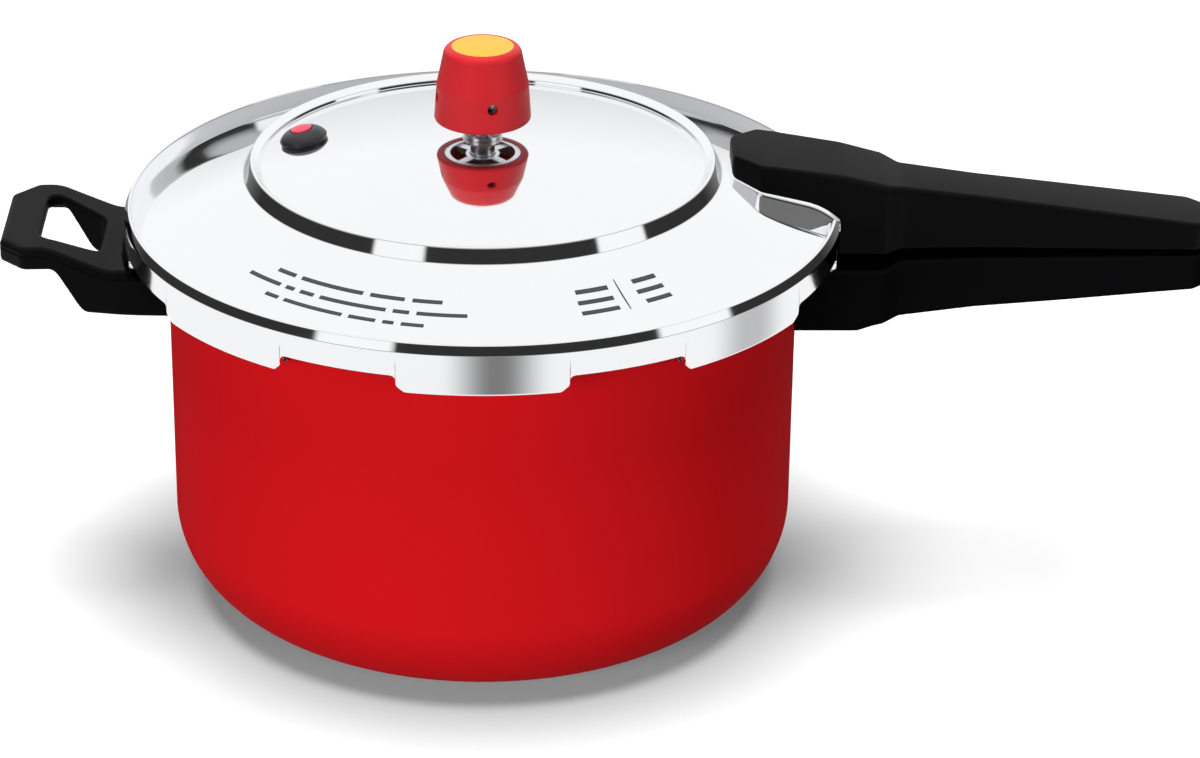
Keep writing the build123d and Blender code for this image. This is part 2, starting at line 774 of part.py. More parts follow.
with BuildPart() as weight_core:
    with BuildSketch(Plane.XY.offset(chamber_top)):
        Circle(core_radius)
    extrude(amount=core_top - chamber_top)
    with BuildSketch(Plane.XY.offset(core_bottom)):
        Circle(5.2)
    extrude(amount=chamber_top - core_bottom)
    with BuildSketch(Plane.XY.offset(core_bottom)):
        Circle(needle_radius + running_clearance)
    extrude(amount=core_top - core_bottom, mode=Mode.SUBTRACT)
    with BuildSketch(Plane.XY.offset(clip_floor)):
        Circle(4.4)
    extrude(amount=core_top - clip_floor, mode=Mode.SUBTRACT)
    with BuildSketch(Plane.XY.offset(core_top - 5.0)):
        with Locations(*screw_places):
            Circle(1.5)
    extrude(amount=5.0, mode=Mode.SUBTRACT)
finish(weight_core, "weight_core", polished_metal)

guide_bottom = weight_bottom + 0.4
guide_top = steam_hole_height - steam_hole_radius - 0.5
arm_bottom = guide_bottom + 0.9
with BuildPart() as weight_guide:
    with BuildSketch(Plane.XY.offset(guide_bottom)):
        Circle(weight_bore)
        Circle(weight_bore - 2.0, mode=Mode.SUBTRACT)
    extrude(amount=guide_top - guide_bottom)
    with BuildSketch(Plane.XY.offset(arm_bottom)):
        Circle(stem_radius + 1.8)
        with PolarLocations(8.8, 4, start_angle=45):
            Rectangle(7.4, 3.2)
        Circle(stem_radius + 0.35, mode=Mode.SUBTRACT)
    extrude(amount=2.4)
finish(weight_guide, "weight_guide", polished_metal)

disc_seat = weight_top - 1.4
with BuildPart() as weight_shell:
    with BuildSketch(Plane.XZ):
        with BuildLine():
            lower_edge = ThreePointArc((16.0, weight_bottom), (16.75, 177.3), (weight_widest, 178.3))
            Polyline(lower_edge @ 1, (16.2, 190), (13.9, 201))
            crown = ThreePointArc((13.9, 201), (12.9, 203.2), (11.3, weight_top))
            Polyline(
                crown @ 1, (disc_radius, weight_top), (disc_radius, disc_seat), (0, disc_seat),
                (0, core_top), (core_radius, core_top), (core_radius, chamber_top),
                (weight_bore, chamber_top), (weight_bore, weight_bottom), lower_edge @ 0,
            )
        make_face()
    revolve(axis=Axis.Z)
    for hole in range(4):
        with BuildSketch(radial_plane(steam_hole_turn + 90 * hole, 12.0, steam_hole_height)):
            Circle(steam_hole_radius)
        extrude(amount=8.0, mode=Mode.SUBTRACT)
    add(weight_screws.part, mode=Mode.SUBTRACT)
    with BuildSketch(Plane.XY.offset(core_top + 0.5)):
        with Locations(*screw_places):
            Circle(2.8)
    extrude(amount=3.0, mode=Mode.SUBTRACT)
finish(weight_shell, "weight_shell", cap_red)

with BuildPart() as cap_disc:
    with BuildSketch(Plane.XZ):
        with BuildLine():
            disc_crown = ThreePointArc(
                (disc_radius, weight_top - 0.1),
                crown_middle(disc_radius, weight_top - 0.1, weight_top + 0.5),
                (0, weight_top + 0.5),
            )
            Polyline(disc_crown @ 1, (0, disc_seat), (disc_radius, disc_seat), disc_crown @ 0)
        make_face()
    revolve(axis=Axis.Z)
finish(cap_disc, "cap_disc", disc_yellow)

# ------------------------------------------------------------------ safety valve
pin_seat = 3.5
plug_bottom = -lid_sheet - 2.4
pin_rest = pin_seat + 0.3
with BuildPart() as safety_plug:
    with BuildSketch(valve_section):
        with BuildLine():
            plug_crown = ThreePointArc((valve_radius, 1.3), (7.3, 2.9), (4.9, 4.3))
            Polyline(
                plug_crown @ 1, (pin_head_radius + 0.35, 4.3), (pin_head_radius + 0.35, pin_seat),
                (pin_radius + running_clearance, pin_seat), (pin_radius + running_clearance, plug_bottom),
                (7.0, plug_bottom), (7.4, -lid_sheet - 0.2), (valve_neck, -lid_sheet - 0.2),
                (valve_neck, 0), (valve_radius - 0.3, 0), plug_crown @ 0,
            )
        make_face()
    revolve(axis=valve_line)
finish(safety_plug, "safety_plug", rubber_grey)

retainer_top = plug_bottom - pin_travel - 0.3
with BuildPart() as indicator_pin:
    with BuildSketch(valve_section):
        with BuildLine():
            pin_crown = ThreePointArc(
                (pin_head_radius, pin_rest + 1.0),
                crown_middle(pin_head_radius, pin_rest + 1.0, pin_rest + 1.8),
                (0, pin_rest + 1.8),
            )
            Polyline(
                pin_crown @ 1, (0, retainer_top - 1.2), (pin_radius, retainer_top - 1.2),
                (pin_radius, pin_rest), (pin_head_radius, pin_rest), pin_crown @ 0,
            )
        make_face()
    revolve(axis=valve_line)
finish(indicator_pin, "indicator_pin", pin_pink)

with BuildPart() as pin_retainer:
    with BuildSketch(valve_frame.offset(retainer_top - 1.0)):
        Circle(3.6)
        Circle(pin_radius, mode=Mode.SUBTRACT)
    extrude(amount=1.0)
finish(pin_retainer, "pin_retainer", polished_metal)
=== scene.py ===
import json
import math

import bmesh
import bpy
import numpy as np
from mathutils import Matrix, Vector


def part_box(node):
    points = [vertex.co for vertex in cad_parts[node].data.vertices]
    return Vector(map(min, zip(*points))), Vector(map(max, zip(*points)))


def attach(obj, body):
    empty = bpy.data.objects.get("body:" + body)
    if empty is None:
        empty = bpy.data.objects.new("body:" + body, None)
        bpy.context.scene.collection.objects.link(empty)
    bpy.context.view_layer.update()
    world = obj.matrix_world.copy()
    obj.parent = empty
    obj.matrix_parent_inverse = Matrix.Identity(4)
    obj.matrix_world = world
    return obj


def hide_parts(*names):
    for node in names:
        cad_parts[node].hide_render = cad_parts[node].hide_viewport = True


# Stovetop pressure cooker. Shapes are worked out in millimetres and put into the meshes in
# metres. +Z is up, the long handles point along +X and the helper handle along -X.

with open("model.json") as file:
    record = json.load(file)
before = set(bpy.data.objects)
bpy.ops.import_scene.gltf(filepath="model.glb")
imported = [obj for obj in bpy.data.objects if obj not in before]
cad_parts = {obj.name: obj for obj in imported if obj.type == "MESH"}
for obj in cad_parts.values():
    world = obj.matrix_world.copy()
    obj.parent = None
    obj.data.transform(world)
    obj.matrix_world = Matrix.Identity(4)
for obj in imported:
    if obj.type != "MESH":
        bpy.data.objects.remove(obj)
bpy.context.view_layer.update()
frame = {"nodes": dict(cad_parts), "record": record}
nodes = frame["nodes"]
MM = 0.001


def node_box(node):
    """Lowest and highest corner of a CAD node, in millimetres."""
    low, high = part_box(node)
    return np.array(low) / MM, np.array(high) / MM


lid_low, lid_high = node_box("lid_shell")
pot_high = node_box("pot_body")[1]

SKIRT = lid_high[1]                             # outer radius of the lid's skirt
LUG_BOTTOM = lid_low[2]                         # lowest edge of the lid's lugs
DOME_TOP = 170.4                                # middle of the lid's dome
FLANGE_TOP = pot_high[2]                        # top of the pot's flange
POT_RADIUS = 112.0                              # outside of the pot's wall
HANDLE_END = node_box("upper_handle")[1][0]     # far end of both long handles
HELPER_END = node_box("helper_handle")[0][0]    # far end of the helper handle


# ---------------------------------------------------------------- working with arrays
def smooth(t):
    """Smooth step 3t^2 - 2t^3, held at 0 below 0 and at 1 above 1."""
    t = np.clip(t, 0.0, 1.0)
    return t * t * (3.0 - 2.0 * t)


def bent(x, places, values, blur):
    """Piecewise-linear function of x, averaged over blur either side so that kinks are soft."""
    offsets = np.linspace(-1.0, 1.0, 11)
    weights = 1.0 - offsets ** 2 + 0.02
    shifted = [w * np.interp(x + o * blur, places, values) for w, o in zip(weights, offsets)]
    return sum(shifted) / weights.sum()


def circle_through(a, b, c):
    """Centre and radius of the circle through three points of a plane."""
    a, b, c = (np.array(p, float) for p in (a, b, c))
    sides = 2.0 * np.array([b - a, c - a])
    centre = np.linalg.solve(sides, np.array([b @ b - a @ a, c @ c - a @ a]))
    return centre, np.linalg.norm(centre - a)


def arc(a, b, c, count=40):
    """Points of the arc from a through b to c: its circle's centre plus the turned radius."""
    centre, radius = circle_through(a, b, c)
    turn = [math.atan2(p[1] - centre[1], p[0] - centre[0]) for p in (a, b, c)]
    turn = np.unwrap(turn)
    angle = np.linspace(turn[0], turn[2], count)
    return centre + radius * np.stack([np.cos(angle), np.sin(angle)], -1)


def lengths(path):
    """Length of a plane path from its start to each of its points."""
    return np.r_[0.0, np.cumsum(np.linalg.norm(np.diff(path, axis=0), axis=1))]


def spread(path, count):
    """Places at even lengths along a plane path."""
    length = lengths(path)
    even = np.linspace(0.0, length[-1], count)
    return np.stack([np.interp(even, length, path[:, k]) for k in (0, 1)], -1)


FINE_STEP = 0.05    # spacing of the points of a path while it is softened


def softened(path, softness, flat_step, turn_step=4.0):
    """Rows along a plane path: its corners are blurred over softness, then rows are spread.

    The path is cut into even fine steps and averaged with a raised-cosine window. Rows are
    spread so that each has the same share of length / flat_step + turning / turn_step.
    """
    fine = spread(path, int(lengths(path)[-1] / FINE_STEP))
    half = max(2, int(softness / FINE_STEP))
    window = np.hanning(2 * half + 1)
    window /= window.sum()
    padded = np.concatenate([2 * fine[0] - fine[half:0:-1], fine,
                             2 * fine[-1] - fine[-2:-half - 2:-1]])
    fine = np.stack([np.convolve(padded[:, k], window, "valid") for k in (0, 1)], -1)
    step = np.diff(fine, axis=0)
    heading = np.unwrap(np.arctan2(step[:, 1], step[:, 0]))
    turning = np.abs(np.diff(heading, append=heading[-1]))
    share = np.linalg.norm(step, axis=1) / flat_step + turning / math.radians(turn_step)
    share = np.r_[0.0, np.cumsum(share)]
    places = np.linspace(0.0, share[-1], int(share[-1]) + 2)
    return np.stack([np.interp(places, share, fine[:, k]) for k in (0, 1)], -1)


def rounded(corners, radii, steps=6, guard=0.3):
    """Polyline whose corners become arcs.

    An arc of radius r starts r tan(turn / 2) before its corner. A guard point stands just
    outside each end of it, which keeps the shading of the flats flat.
    """
    corners = np.asarray(corners, float)
    points = [corners[0]]
    for before, corner, after, radius in zip(corners, corners[1:], corners[2:], radii):
        a = (corner - before) / np.linalg.norm(corner - before)
        b = (after - corner) / np.linalg.norm(after - corner)
        turn = math.atan2(a[0] * b[1] - a[1] * b[0], a @ b)
        start = corner - a * abs(radius * math.tan(turn / 2))
        side = math.copysign(1.0, turn)
        centre = start + side * radius * np.array([-a[1], a[0]])
        angle = np.linspace(0.0, turn, steps + 1)[:, None]
        spoke = start - centre
        across = np.array([-spoke[1], spoke[0]])
        curve = centre + spoke * np.cos(angle) + across * np.sin(angle)
        points += [start - a * guard, *curve, curve[-1] + b * guard]
    points.append(corners[-1])
    return np.array(points)


def turned(profile, angles):
    """Surface of revolution: rows are the profile's (radius, height), columns the angles."""
    r, z = profile[:, 0][:, None], profile[:, 1][:, None]
    return np.stack([r * np.cos(angles), r * np.sin(angles), z + 0 * angles], -1)


def even_turn(count):
    """Angles of a whole turn in even steps."""
    return np.arange(count) * 2 * math.pi / count


# ---------------------------------------------------------------- putting surfaces into meshes
def grid_faces(rows, columns, wrap_rows=False):
    """Four-sided faces between the points of a grid, whose last column joins its first."""
    r = np.arange(rows if wrap_rows else rows - 1)[:, None]
    c = np.arange(columns)[None, :]
    next_r, next_c = (r + 1) % rows, (c + 1) % columns
    return np.stack([r * columns + c, r * columns + next_c, next_r * columns + next_c,
                     next_r * columns + c], -1).reshape(-1, 4)


def add_surface(name, surfaces, body, materials, wrap_rows=False, stands_for=(),
                paint=None, angle=None):
    """Piece made of closed grids of points in millimetres, each rows x columns x 3.

    A row that shrinks to one point closes its end. Doubles are merged and the normals turned
    outwards. paint gives a material's number from the faces' centres, in millimetres. Edges
    that turn by more than angle degrees are shaded sharp.
    """
    points, faces, first = [], [], 0
    for grid in surfaces:
        rows, columns = grid.shape[:2]
        points.append(grid.reshape(-1, 3))
        faces.append(grid_faces(rows, columns, wrap_rows) + first)
        first += rows * columns
    mesh = bpy.data.meshes.new(name)
    mesh.from_pydata((np.concatenate(points) * MM).tolist(), [], np.concatenate(faces).tolist())
    shell = bmesh.new()
    shell.from_mesh(mesh)
    bmesh.ops.remove_doubles(shell, verts=shell.verts, dist=5e-7)
    bmesh.ops.recalc_face_normals(shell, faces=shell.faces)
    shell.to_mesh(mesh)
    shell.free()
    for material in materials:
        mesh.materials.append(material)
    if paint is not None:
        centres = np.zeros(len(mesh.polygons) * 3)
        mesh.polygons.foreach_get("center", centres)
        numbers = paint(centres.reshape(-1, 3) / MM).astype(np.int32)
        mesh.polygons.foreach_set("material_index", numbers)
    mesh.shade_smooth()
    if angle is not None:
        mesh.set_sharp_from_angle(angle=math.radians(angle))
    piece = bpy.data.objects.new(name, mesh)
    bpy.context.scene.collection.objects.link(piece)
    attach(piece, body)
    if stands_for:
        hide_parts(*stands_for)
    return piece


# ---------------------------------------------------------------- shared surface effects
def new_group(name, inputs, outputs):
    """Empty shader node group: inputs are (name, socket type, value), outputs (name, type)."""
    group = bpy.data.node_groups.new(name, "ShaderNodeTree")
    for label, kind, value in inputs:
        socket = group.interface.new_socket(name=label, in_out="INPUT", socket_type=kind)
        socket.default_value = value
    for label, kind in outputs:
        group.interface.new_socket(name=label, in_out="OUTPUT", socket_type=kind)
    return group, group.nodes.new("NodeGroupInput"), group.nodes.new("NodeGroupOutput")


def feed(tree, value, socket):
    """Link a socket to another socket, or set it to a plain number."""
    if isinstance(value, bpy.types.NodeSocket):
        tree.links.new(value, socket)
    else:
        socket.default_value = value


def math_node(tree, operation, *values):
    """Math node whose inputs are sockets or plain numbers."""
    node = tree.nodes.new("ShaderNodeMath")
    node.operation = operation
    for socket, value in zip(node.inputs, values):
        feed(tree, value, socket)
    return node.outputs[0]


def noise_node(tree, vector, scale, detail=3.0, roughness=0.55):
    """Noise of a vector, with a scale that is a socket or a number."""
    node = tree.nodes.new("ShaderNodeTexNoise")
    for label, value in (("Vector", vector), ("Scale", scale), ("Detail", detail),
                         ("Roughness", roughness)):
        feed(tree, value, node.inputs[label])
    return node.outputs["Fac"]


def mottled(group, given, fine, broad, fine_share):
    """Roughness plus spread times (a mix of two noises, less a half)."""
    mixed = math_node(group, "ADD", math_node(group, "MULTIPLY", fine, fine_share),
                      math_node(group, "MULTIPLY", broad, 1.0 - fine_share))
    centred = math_node(group, "SUBTRACT", mixed, 0.5)
    return math_node(group, "MULTIPLY_ADD", centred, given.outputs["Spread"],
                     given.outputs["Roughness"])


def make_grain():
    """Mottled gloss and a fine height: noise of the object's own coordinates."""
    group, given, out = new_group(
        "moulded_grain",
        [("Scale", "NodeSocketFloat", 900.0), ("Roughness", "NodeSocketFloat", 0.4),
         ("Spread", "NodeSocketFloat", 0.1)],
        [("Roughness", "NodeSocketFloat"), ("Height", "NodeSocketFloat")])
    place = group.nodes.new("ShaderNodeTexCoord").outputs["Object"]
    fine = noise_node(group, place, given.outputs["Scale"], 4.0)
    broad = noise_node(group, place, 34.0, 2.0)
    group.links.new(mottled(group, given, fine, broad, 0.5), out.inputs["Roughness"])
    group.links.new(fine, out.inputs["Height"])
    return group


def make_polish():
    """Lathe polishing: noise of the distance from the Z axis and the height, in thin rings."""
    group, given, out = new_group(
        "turned_polish",
        [("Pitch", "NodeSocketFloat", 2600.0), ("Roughness", "NodeSocketFloat", 0.08),
         ("Spread", "NodeSocketFloat", 0.05)],
        [("Roughness", "NodeSocketFloat"), ("Height", "NodeSocketFloat")])
    place = group.nodes.new("ShaderNodeTexCoord").outputs["Object"]
    split = group.nodes.new("ShaderNodeSeparateXYZ")
    group.links.new(place, split.inputs[0])
    across = math_node(group, "MULTIPLY", split.outputs["X"], split.outputs["X"])
    along = math_node(group, "MULTIPLY", split.outputs["Y"], split.outputs["Y"])
    radius = math_node(group, "SQRT", math_node(group, "ADD", across, along))
    turn = math_node(group, "ARCTAN2", split.outputs["Y"], split.outputs["X"])
    ring = group.nodes.new("ShaderNodeCombineXYZ")
    for label, value, factor in (("X", radius, given.outputs["Pitch"]),
                                 ("Y", split.outputs["Z"], given.outputs["Pitch"]),
                                 ("Z", turn, 1.3)):
        group.links.new(math_node(group, "MULTIPLY", value, factor), ring.inputs[label])
    rings = noise_node(group, ring.outputs[0], 1.0, 2.0)
    smears = noise_node(group, place, 21.0, 3.0)
    group.links.new(mottled(group, given, rings, smears, 0.6), out.inputs["Roughness"])
    group.links.new(rings, out.inputs["Height"])
    return group


def make_drift():
    """Slow change of a colour over the surface: the colour times 1 plus drift times noise."""
    group, given, out = new_group(
        "colour_drift",
        [("Colour", "NodeSocketColor", (0.5, 0.5, 0.5, 1.0)), ("Scale", "NodeSocketFloat", 18.0),
         ("Drift", "NodeSocketFloat", 0.1)],
        [("Colour", "NodeSocketColor")])
    place = group.nodes.new("ShaderNodeTexCoord").outputs["Object"]
    broad = noise_node(group, place, given.outputs["Scale"], 3.0)
    centred = math_node(group, "SUBTRACT", broad, 0.5)
    factor = math_node(group, "MULTIPLY_ADD", centred, given.outputs["Drift"], 1.0)
    scale = group.nodes.new("ShaderNodeVectorMath")
    scale.operation = "SCALE"
    group.links.new(given.outputs["Colour"], scale.inputs[0])
    group.links.new(factor, scale.inputs["Scale"])
    group.links.new(scale.outputs[0], out.inputs["Colour"])
    return group


GRAIN, POLISH, DRIFT = make_grain(), make_polish(), make_drift()


def use_group(material, group, **values):
    """Place a node group in a material with its own values."""
    node = material.node_tree.nodes.new("ShaderNodeGroup")
    node.node_tree = group
    for label, value in values.items():
        node.inputs[label].default_value = value
    return node


def make_finish(name, colour, roughness, spread, drift=0.08, metallic=0.0, bump=0.0, texture=GRAIN,
                texture_scale=900.0, **sockets):
    """Material with a drifting colour, a mottled gloss and a fine bump from a shared group."""
    material = bpy.data.materials.new(name)
    material.use_nodes = True
    tree = material.node_tree
    shader = tree.nodes["Principled BSDF"]
    shader.inputs["Metallic"].default_value = metallic
    for label, value in sockets.items():
        shader.inputs[label.replace("_", " ")].default_value = value
    tint = use_group(material, DRIFT, Colour=(*colour, 1.0), Drift=drift)
    tree.links.new(tint.outputs["Colour"], shader.inputs["Base Color"])
    size = {"Pitch": texture_scale} if texture is POLISH else {"Scale": texture_scale}
    gloss = use_group(material, texture, Roughness=roughness, Spread=spread, **size)
    tree.links.new(gloss.outputs["Roughness"], shader.inputs["Roughness"])
    if bump:
        relief = tree.nodes.new("ShaderNodeBump")
        relief.inputs["Strength"].default_value = 1.0
        relief.inputs["Distance"].default_value = bump * MM
        tree.links.new(gloss.outputs["Height"], relief.inputs["Height"])
        tree.links.new(relief.outputs["Normal"], shader.inputs["Normal"])
    return material


TURNED = {"metallic": 1.0, "texture": POLISH}    # what every turned or polished metal shares

lacquer = make_finish("red_lacquer", (0.60, 0.0075, 0.011), 0.48, 0.10, drift=0.06, bump=0.006,
                      texture_scale=420.0, Specular_IOR_Level=0.0, Coat_Weight=0.025,
                      Coat_Roughness=0.3)
bare_metal = make_finish("spun_aluminium", (0.80, 0.81, 0.83), 0.30, 0.22, drift=0.06,
                         bump=0.003, texture_scale=1500.0, **TURNED)
mirror = make_finish("polished_aluminium", (0.93, 0.935, 0.95), 0.055, 0.05, drift=0.02,
                     bump=0.0002, texture_scale=2600.0, **TURNED)
satin_edge = make_finish("satin_aluminium", (0.90, 0.905, 0.92), 0.12, 0.08, drift=0.03,
                         bump=0.0006, texture_scale=2600.0, **TURNED)
phenolic = make_finish("black_phenolic", (0.0028, 0.0028, 0.0032), 0.44, 0.16, drift=0.3,
                       bump=0.010, texture_scale=1300.0, Specular_IOR_Level=0.05)
# Copy of the black phenolic with no sheen and a touch lighter: painted shade for the pot's handle,
# whose top lies under the lid's handle, which reflections don't see
phenolic_painted_shade = make_finish("phenolic_painted_shade", (0.0040, 0.0040, 0.0045), 0.55, 0.16, drift=0.3,
                             bump=0.010, texture_scale=1300.0, Specular_IOR_Level=0.0)
steel = make_finish("stainless_steel", (0.62, 0.62, 0.64), 0.26, 0.12, bump=0.002,
                    texture_scale=3000.0, **TURNED)
plated = make_finish("bright_plate", (0.90, 0.91, 0.93), 0.30, 0.10, bump=0.0005,
                     texture_scale=3000.0, **TURNED)
brass = make_finish("plain_brass", (0.72, 0.50, 0.20), 0.28, 0.14, bump=0.002,
                    texture_scale=3000.0, **TURNED)
bracket_cast = make_finish("cast_aluminium", (0.66, 0.67, 0.69), 0.42, 0.2, metallic=1.0,
                           bump=0.02, texture_scale=700.0)
silicone = make_finish("grey_silicone", (0.30, 0.30, 0.31), 0.55, 0.15, bump=0.008,
                       texture_scale=1200.0)
valve_black = make_finish("valve_silicone", (0.016, 0.016, 0.018), 0.34, 0.14, bump=0.006,
                          texture_scale=1200.0, Specular_IOR_Level=0.5)
cap_plastic = make_finish("red_cap_plastic", (0.52, 0.014, 0.020), 0.40, 0.14, drift=0.06,
                          bump=0.008, texture_scale=1100.0, Specular_IOR_Level=0.4)
disc_plastic = make_finish("yellow_plastic", (0.74, 0.40, 0.025), 0.38, 0.12, drift=0.05,
                           bump=0.006, texture_scale=1100.0)
pin_plastic = make_finish("pink_plastic", (0.58, 0.055, 0.105), 0.32, 0.12, drift=0.05,
                          bump=0.005, texture_scale=1200.0)
ink = make_finish("printed_ink", (0.035, 0.035, 0.04), 0.5, 0.15, bump=0.001,
                  texture_scale=1500.0)

SLOT_FINISHES = {
    "pot_lacquer": lacquer, "handle_black": phenolic, "bracket_metal": bracket_cast,
    "fastener_steel": steel, "brass": brass, "seal_rubber": silicone, "lid_aluminium": mirror,
    "vent_metal": plated, "cap_red": cap_plastic, "disc_yellow": disc_plastic,
    "valve_rubber": valve_black, "pin_pink": pin_plastic,
}
node_slots = {part["node"]: part["material_slot"] for part in frame["record"]["subparts"]}
for node, carried in nodes.items():
    carried.data.materials.clear()
    carried.data.materials.append(SLOT_FINISHES[node_slots[node]])


# ---------------------------------------------------------------- pot
WALL_INSIDE = 109.8                 # inside radius of the pot
BASE_FLAT = 80.0                    # radius of the flat base, inside and out
BASE_ROUND, FLOOR_ROUND = 32.0, 29.8
FLOOR = 4.0                         # thickness of the base
FLANGE_RADIUS = 118.4
TAB_RADIUS = pot_high[0]
TAB_WIDTH = math.radians(16.5)
PERIOD = math.radians(45.0)         # eight tabs on the pot, eight lugs on the lid


def pot_surface():
    """Turned pot: one section from the base's centre round the rim to the floor's centre.

    Beyond the wall the radius is stretched towards eight tabs: r' = w + (r - w) s, where s
    rises smoothly over the tabs' ends.
    """
    slant = math.sqrt(0.5)
    centre = FLOOR + FLOOR_ROUND
    base = arc((BASE_FLAT, 0.0), (BASE_FLAT + BASE_ROUND * slant, BASE_ROUND * (1 - slant)),
               (POT_RADIUS, BASE_ROUND))
    floor = arc((WALL_INSIDE, centre),
                (BASE_FLAT + FLOOR_ROUND * slant, centre - FLOOR_ROUND * slant), (BASE_FLAT, FLOOR))
    under = FLANGE_TOP - 2.8
    neck = arc((POT_RADIUS, under - 2.0), (POT_RADIUS + 0.586, under - 0.586),
               (POT_RADIUS + 2.0, under), 12)
    section = np.concatenate([
        [(0.0, 0.0), (BASE_FLAT, 0.0)], base[1:], neck,
        [(FLANGE_RADIUS, under), (FLANGE_RADIUS, FLANGE_TOP), (WALL_INSIDE, FLANGE_TOP)],
        floor, [(0.0, FLOOR)]])
    rows = softened(section, 0.7, 3.6, 5.2)
    half, edge = TAB_WIDTH / 2, math.radians(0.9)
    near = np.concatenate([np.linspace(0, half - edge, 7)[:-1],
                           np.linspace(half - edge, half + edge, 12),
                           np.linspace(half + edge, PERIOD / 2, 9)[1:-1]])
    step = np.sort(np.unique(np.round(np.r_[-near, near, PERIOD / 2], 9)))
    angles = np.concatenate([step + k * PERIOD for k in range(8)])
    local = np.abs((angles + PERIOD / 2) % PERIOD - PERIOD / 2)
    tab = smooth((half + edge - local) / (2 * edge))
    points = turned(rows, angles)
    start = POT_RADIUS + 2.0
    r = rows[:, 0][:, None]
    stretch = (TAB_RADIUS - start) / (FLANGE_RADIUS - start)
    wide = np.where(r > start, start + (r - start) * (1 + (stretch - 1) * tab[None, :]), r)
    scale = np.where(r > start, wide / np.maximum(r, 1e-6), 1.0)
    points[..., :2] *= scale[..., None]
    return points


def pot_paint(centre):
    """1, bare metal, for the rim, the inside and the turned face of the base; 0 is lacquer."""
    r, z = np.hypot(centre[:, 0], centre[:, 1]), centre[:, 2]
    inside = (r < WALL_INSIDE + 1.0) & (z > 3.0) & ~((r > WALL_INSIDE + 0.15) & (z < 130.0))
    round_centre = FLOOR + FLOOR_ROUND
    outer_round = ((z < round_centre) & (r > BASE_FLAT)
                   & (np.hypot(r - BASE_FLAT, round_centre - z) > FLOOR_ROUND + 0.6))
    flange = (r > POT_RADIUS + 2.2) & (z > 120.0)
    face = (z < 0.05) & (r < BASE_FLAT - 1.5)
    return np.where((inside & ~outer_round) | flange | (z > FLANGE_TOP - 0.4) | face, 1, 0)


pot_shell = add_surface("pot_shell", [pot_surface()], "pot", [lacquer, bare_metal],
                        stands_for=["pot_body"], paint=pot_paint)
pot_shell.visible_diffuse = False


# ---------------------------------------------------------------- lid
SHEET = 2.4                              # thickness of the lid
LIP_TOP = LUG_BOTTOM + SHEET             # top of the lip that the lugs turn in under the tabs
STEM_HOLE = 4.6                          # radius of the hole in the middle
LUG_GAP = 135.3                          # height of the skirt's edge between the lugs
DOME_EDGE = (79.5, 160.0)                # places on the section are (radius, height)
BEAD_OUTER, GUTTER = (84.3, 157.8), (123.9, 140.4)
RIM_TOP, RIM_INNER, SHOULDER = 147.2, 124.3, 144.8
CROWN_START, CROWN_BEND, CROWN_END = (84.0, 159.2), (113.0, 152.5), (128.5, 141.5)
dome_drop = DOME_TOP - DOME_EDGE[1]
DOME_RADIUS = (DOME_EDGE[0] ** 2 + dome_drop ** 2) / (2 * dome_drop)

# The bead is a raised step: a small rounded crest, then a straight wall down to the ring.
BEAD = np.array([(78.5, 160.25), (78.8, 161.2), (80.8, 162.8), (81.3, 163.1), (81.9, 162.85),
                 (82.3, 162.2), BEAD_OUTER])


def dome_height(r):
    """Height of the lid's central dome, a sphere's cap, at a distance from the axis."""
    return DOME_TOP - DOME_RADIUS + np.sqrt(DOME_RADIUS ** 2 - r ** 2)


def hollow_middle(start, end, hollow):
    """Middle of an arc that sinks below the chord from start to end."""
    run, fall = end[0] - start[0], end[1] - start[1]
    sink = hollow / math.hypot(run, fall)
    return (start[0] + end[0]) / 2 + sink * fall, (start[1] + end[1]) / 2 - sink * run


ANNULUS = (BEAD_OUTER, hollow_middle(BEAD_OUTER, GUTTER, 2.0), GUTTER)
annulus_centre, annulus_radius = circle_through(*ANNULUS)


def annulus_height(r):
    """Height of the lid's hollow ring between bead and gutter at a distance from the axis."""
    return annulus_centre[1] - np.sqrt(annulus_radius ** 2 - (r - annulus_centre[0]) ** 2)


crown_slope = (CROWN_BEND[1] - CROWN_START[1]) / (CROWN_BEND[0] - CROWN_START[0])
crown_normal = np.array([crown_slope, -1.0]) / math.hypot(crown_slope, 1.0)
to_end = np.array(CROWN_END) - np.array(CROWN_BEND)
crown_radius = (to_end @ to_end) / (2 * to_end @ crown_normal)
crown_centre = np.array(CROWN_BEND) + crown_radius * crown_normal


def crown_height(x):
    """Height of the handle pad's top: a slope along X, then an arc that falls to the rim."""
    slope = CROWN_START[1] + crown_slope * (x - CROWN_START[0])
    drop = np.sqrt(np.maximum(crown_radius ** 2 - (x - crown_centre[0]) ** 2, 0.0))
    return np.where(x < CROWN_BEND[0], slope, crown_centre[1] + drop)


def lug_edge():
    """Lower edge of the skirt over one eighth turn, as (length along the skirt, height)."""
    period = SKIRT * PERIOD
    side = period / 2 - SKIRT * math.radians(9.5)
    half = rounded([(0.0, LUG_BOTTOM), (side - 2.7, LUG_BOTTOM), (side, 131.6), (side, LUG_GAP),
                    (period / 2, LUG_GAP)], [1.5, 1.5, 2.0], steps=3)
    start, end = side - 5.0, side + 3.2
    middle = half[(half[:, 0] > start) & (half[:, 0] < end)]
    left = start * np.sin(np.linspace(0, math.pi / 2, 11))
    right = end + (period / 2 - end) * (1 - np.cos(np.linspace(0, math.pi / 2, 8)))
    half = np.concatenate([np.stack([left, 0 * left + LUG_BOTTOM], -1), middle,
                           np.stack([right, 0 * right + LUG_GAP], -1)])
    mirrored = half[:-1][::-1] * (-1, 1) + (period, 0)
    return np.concatenate([half[1:], mirrored])


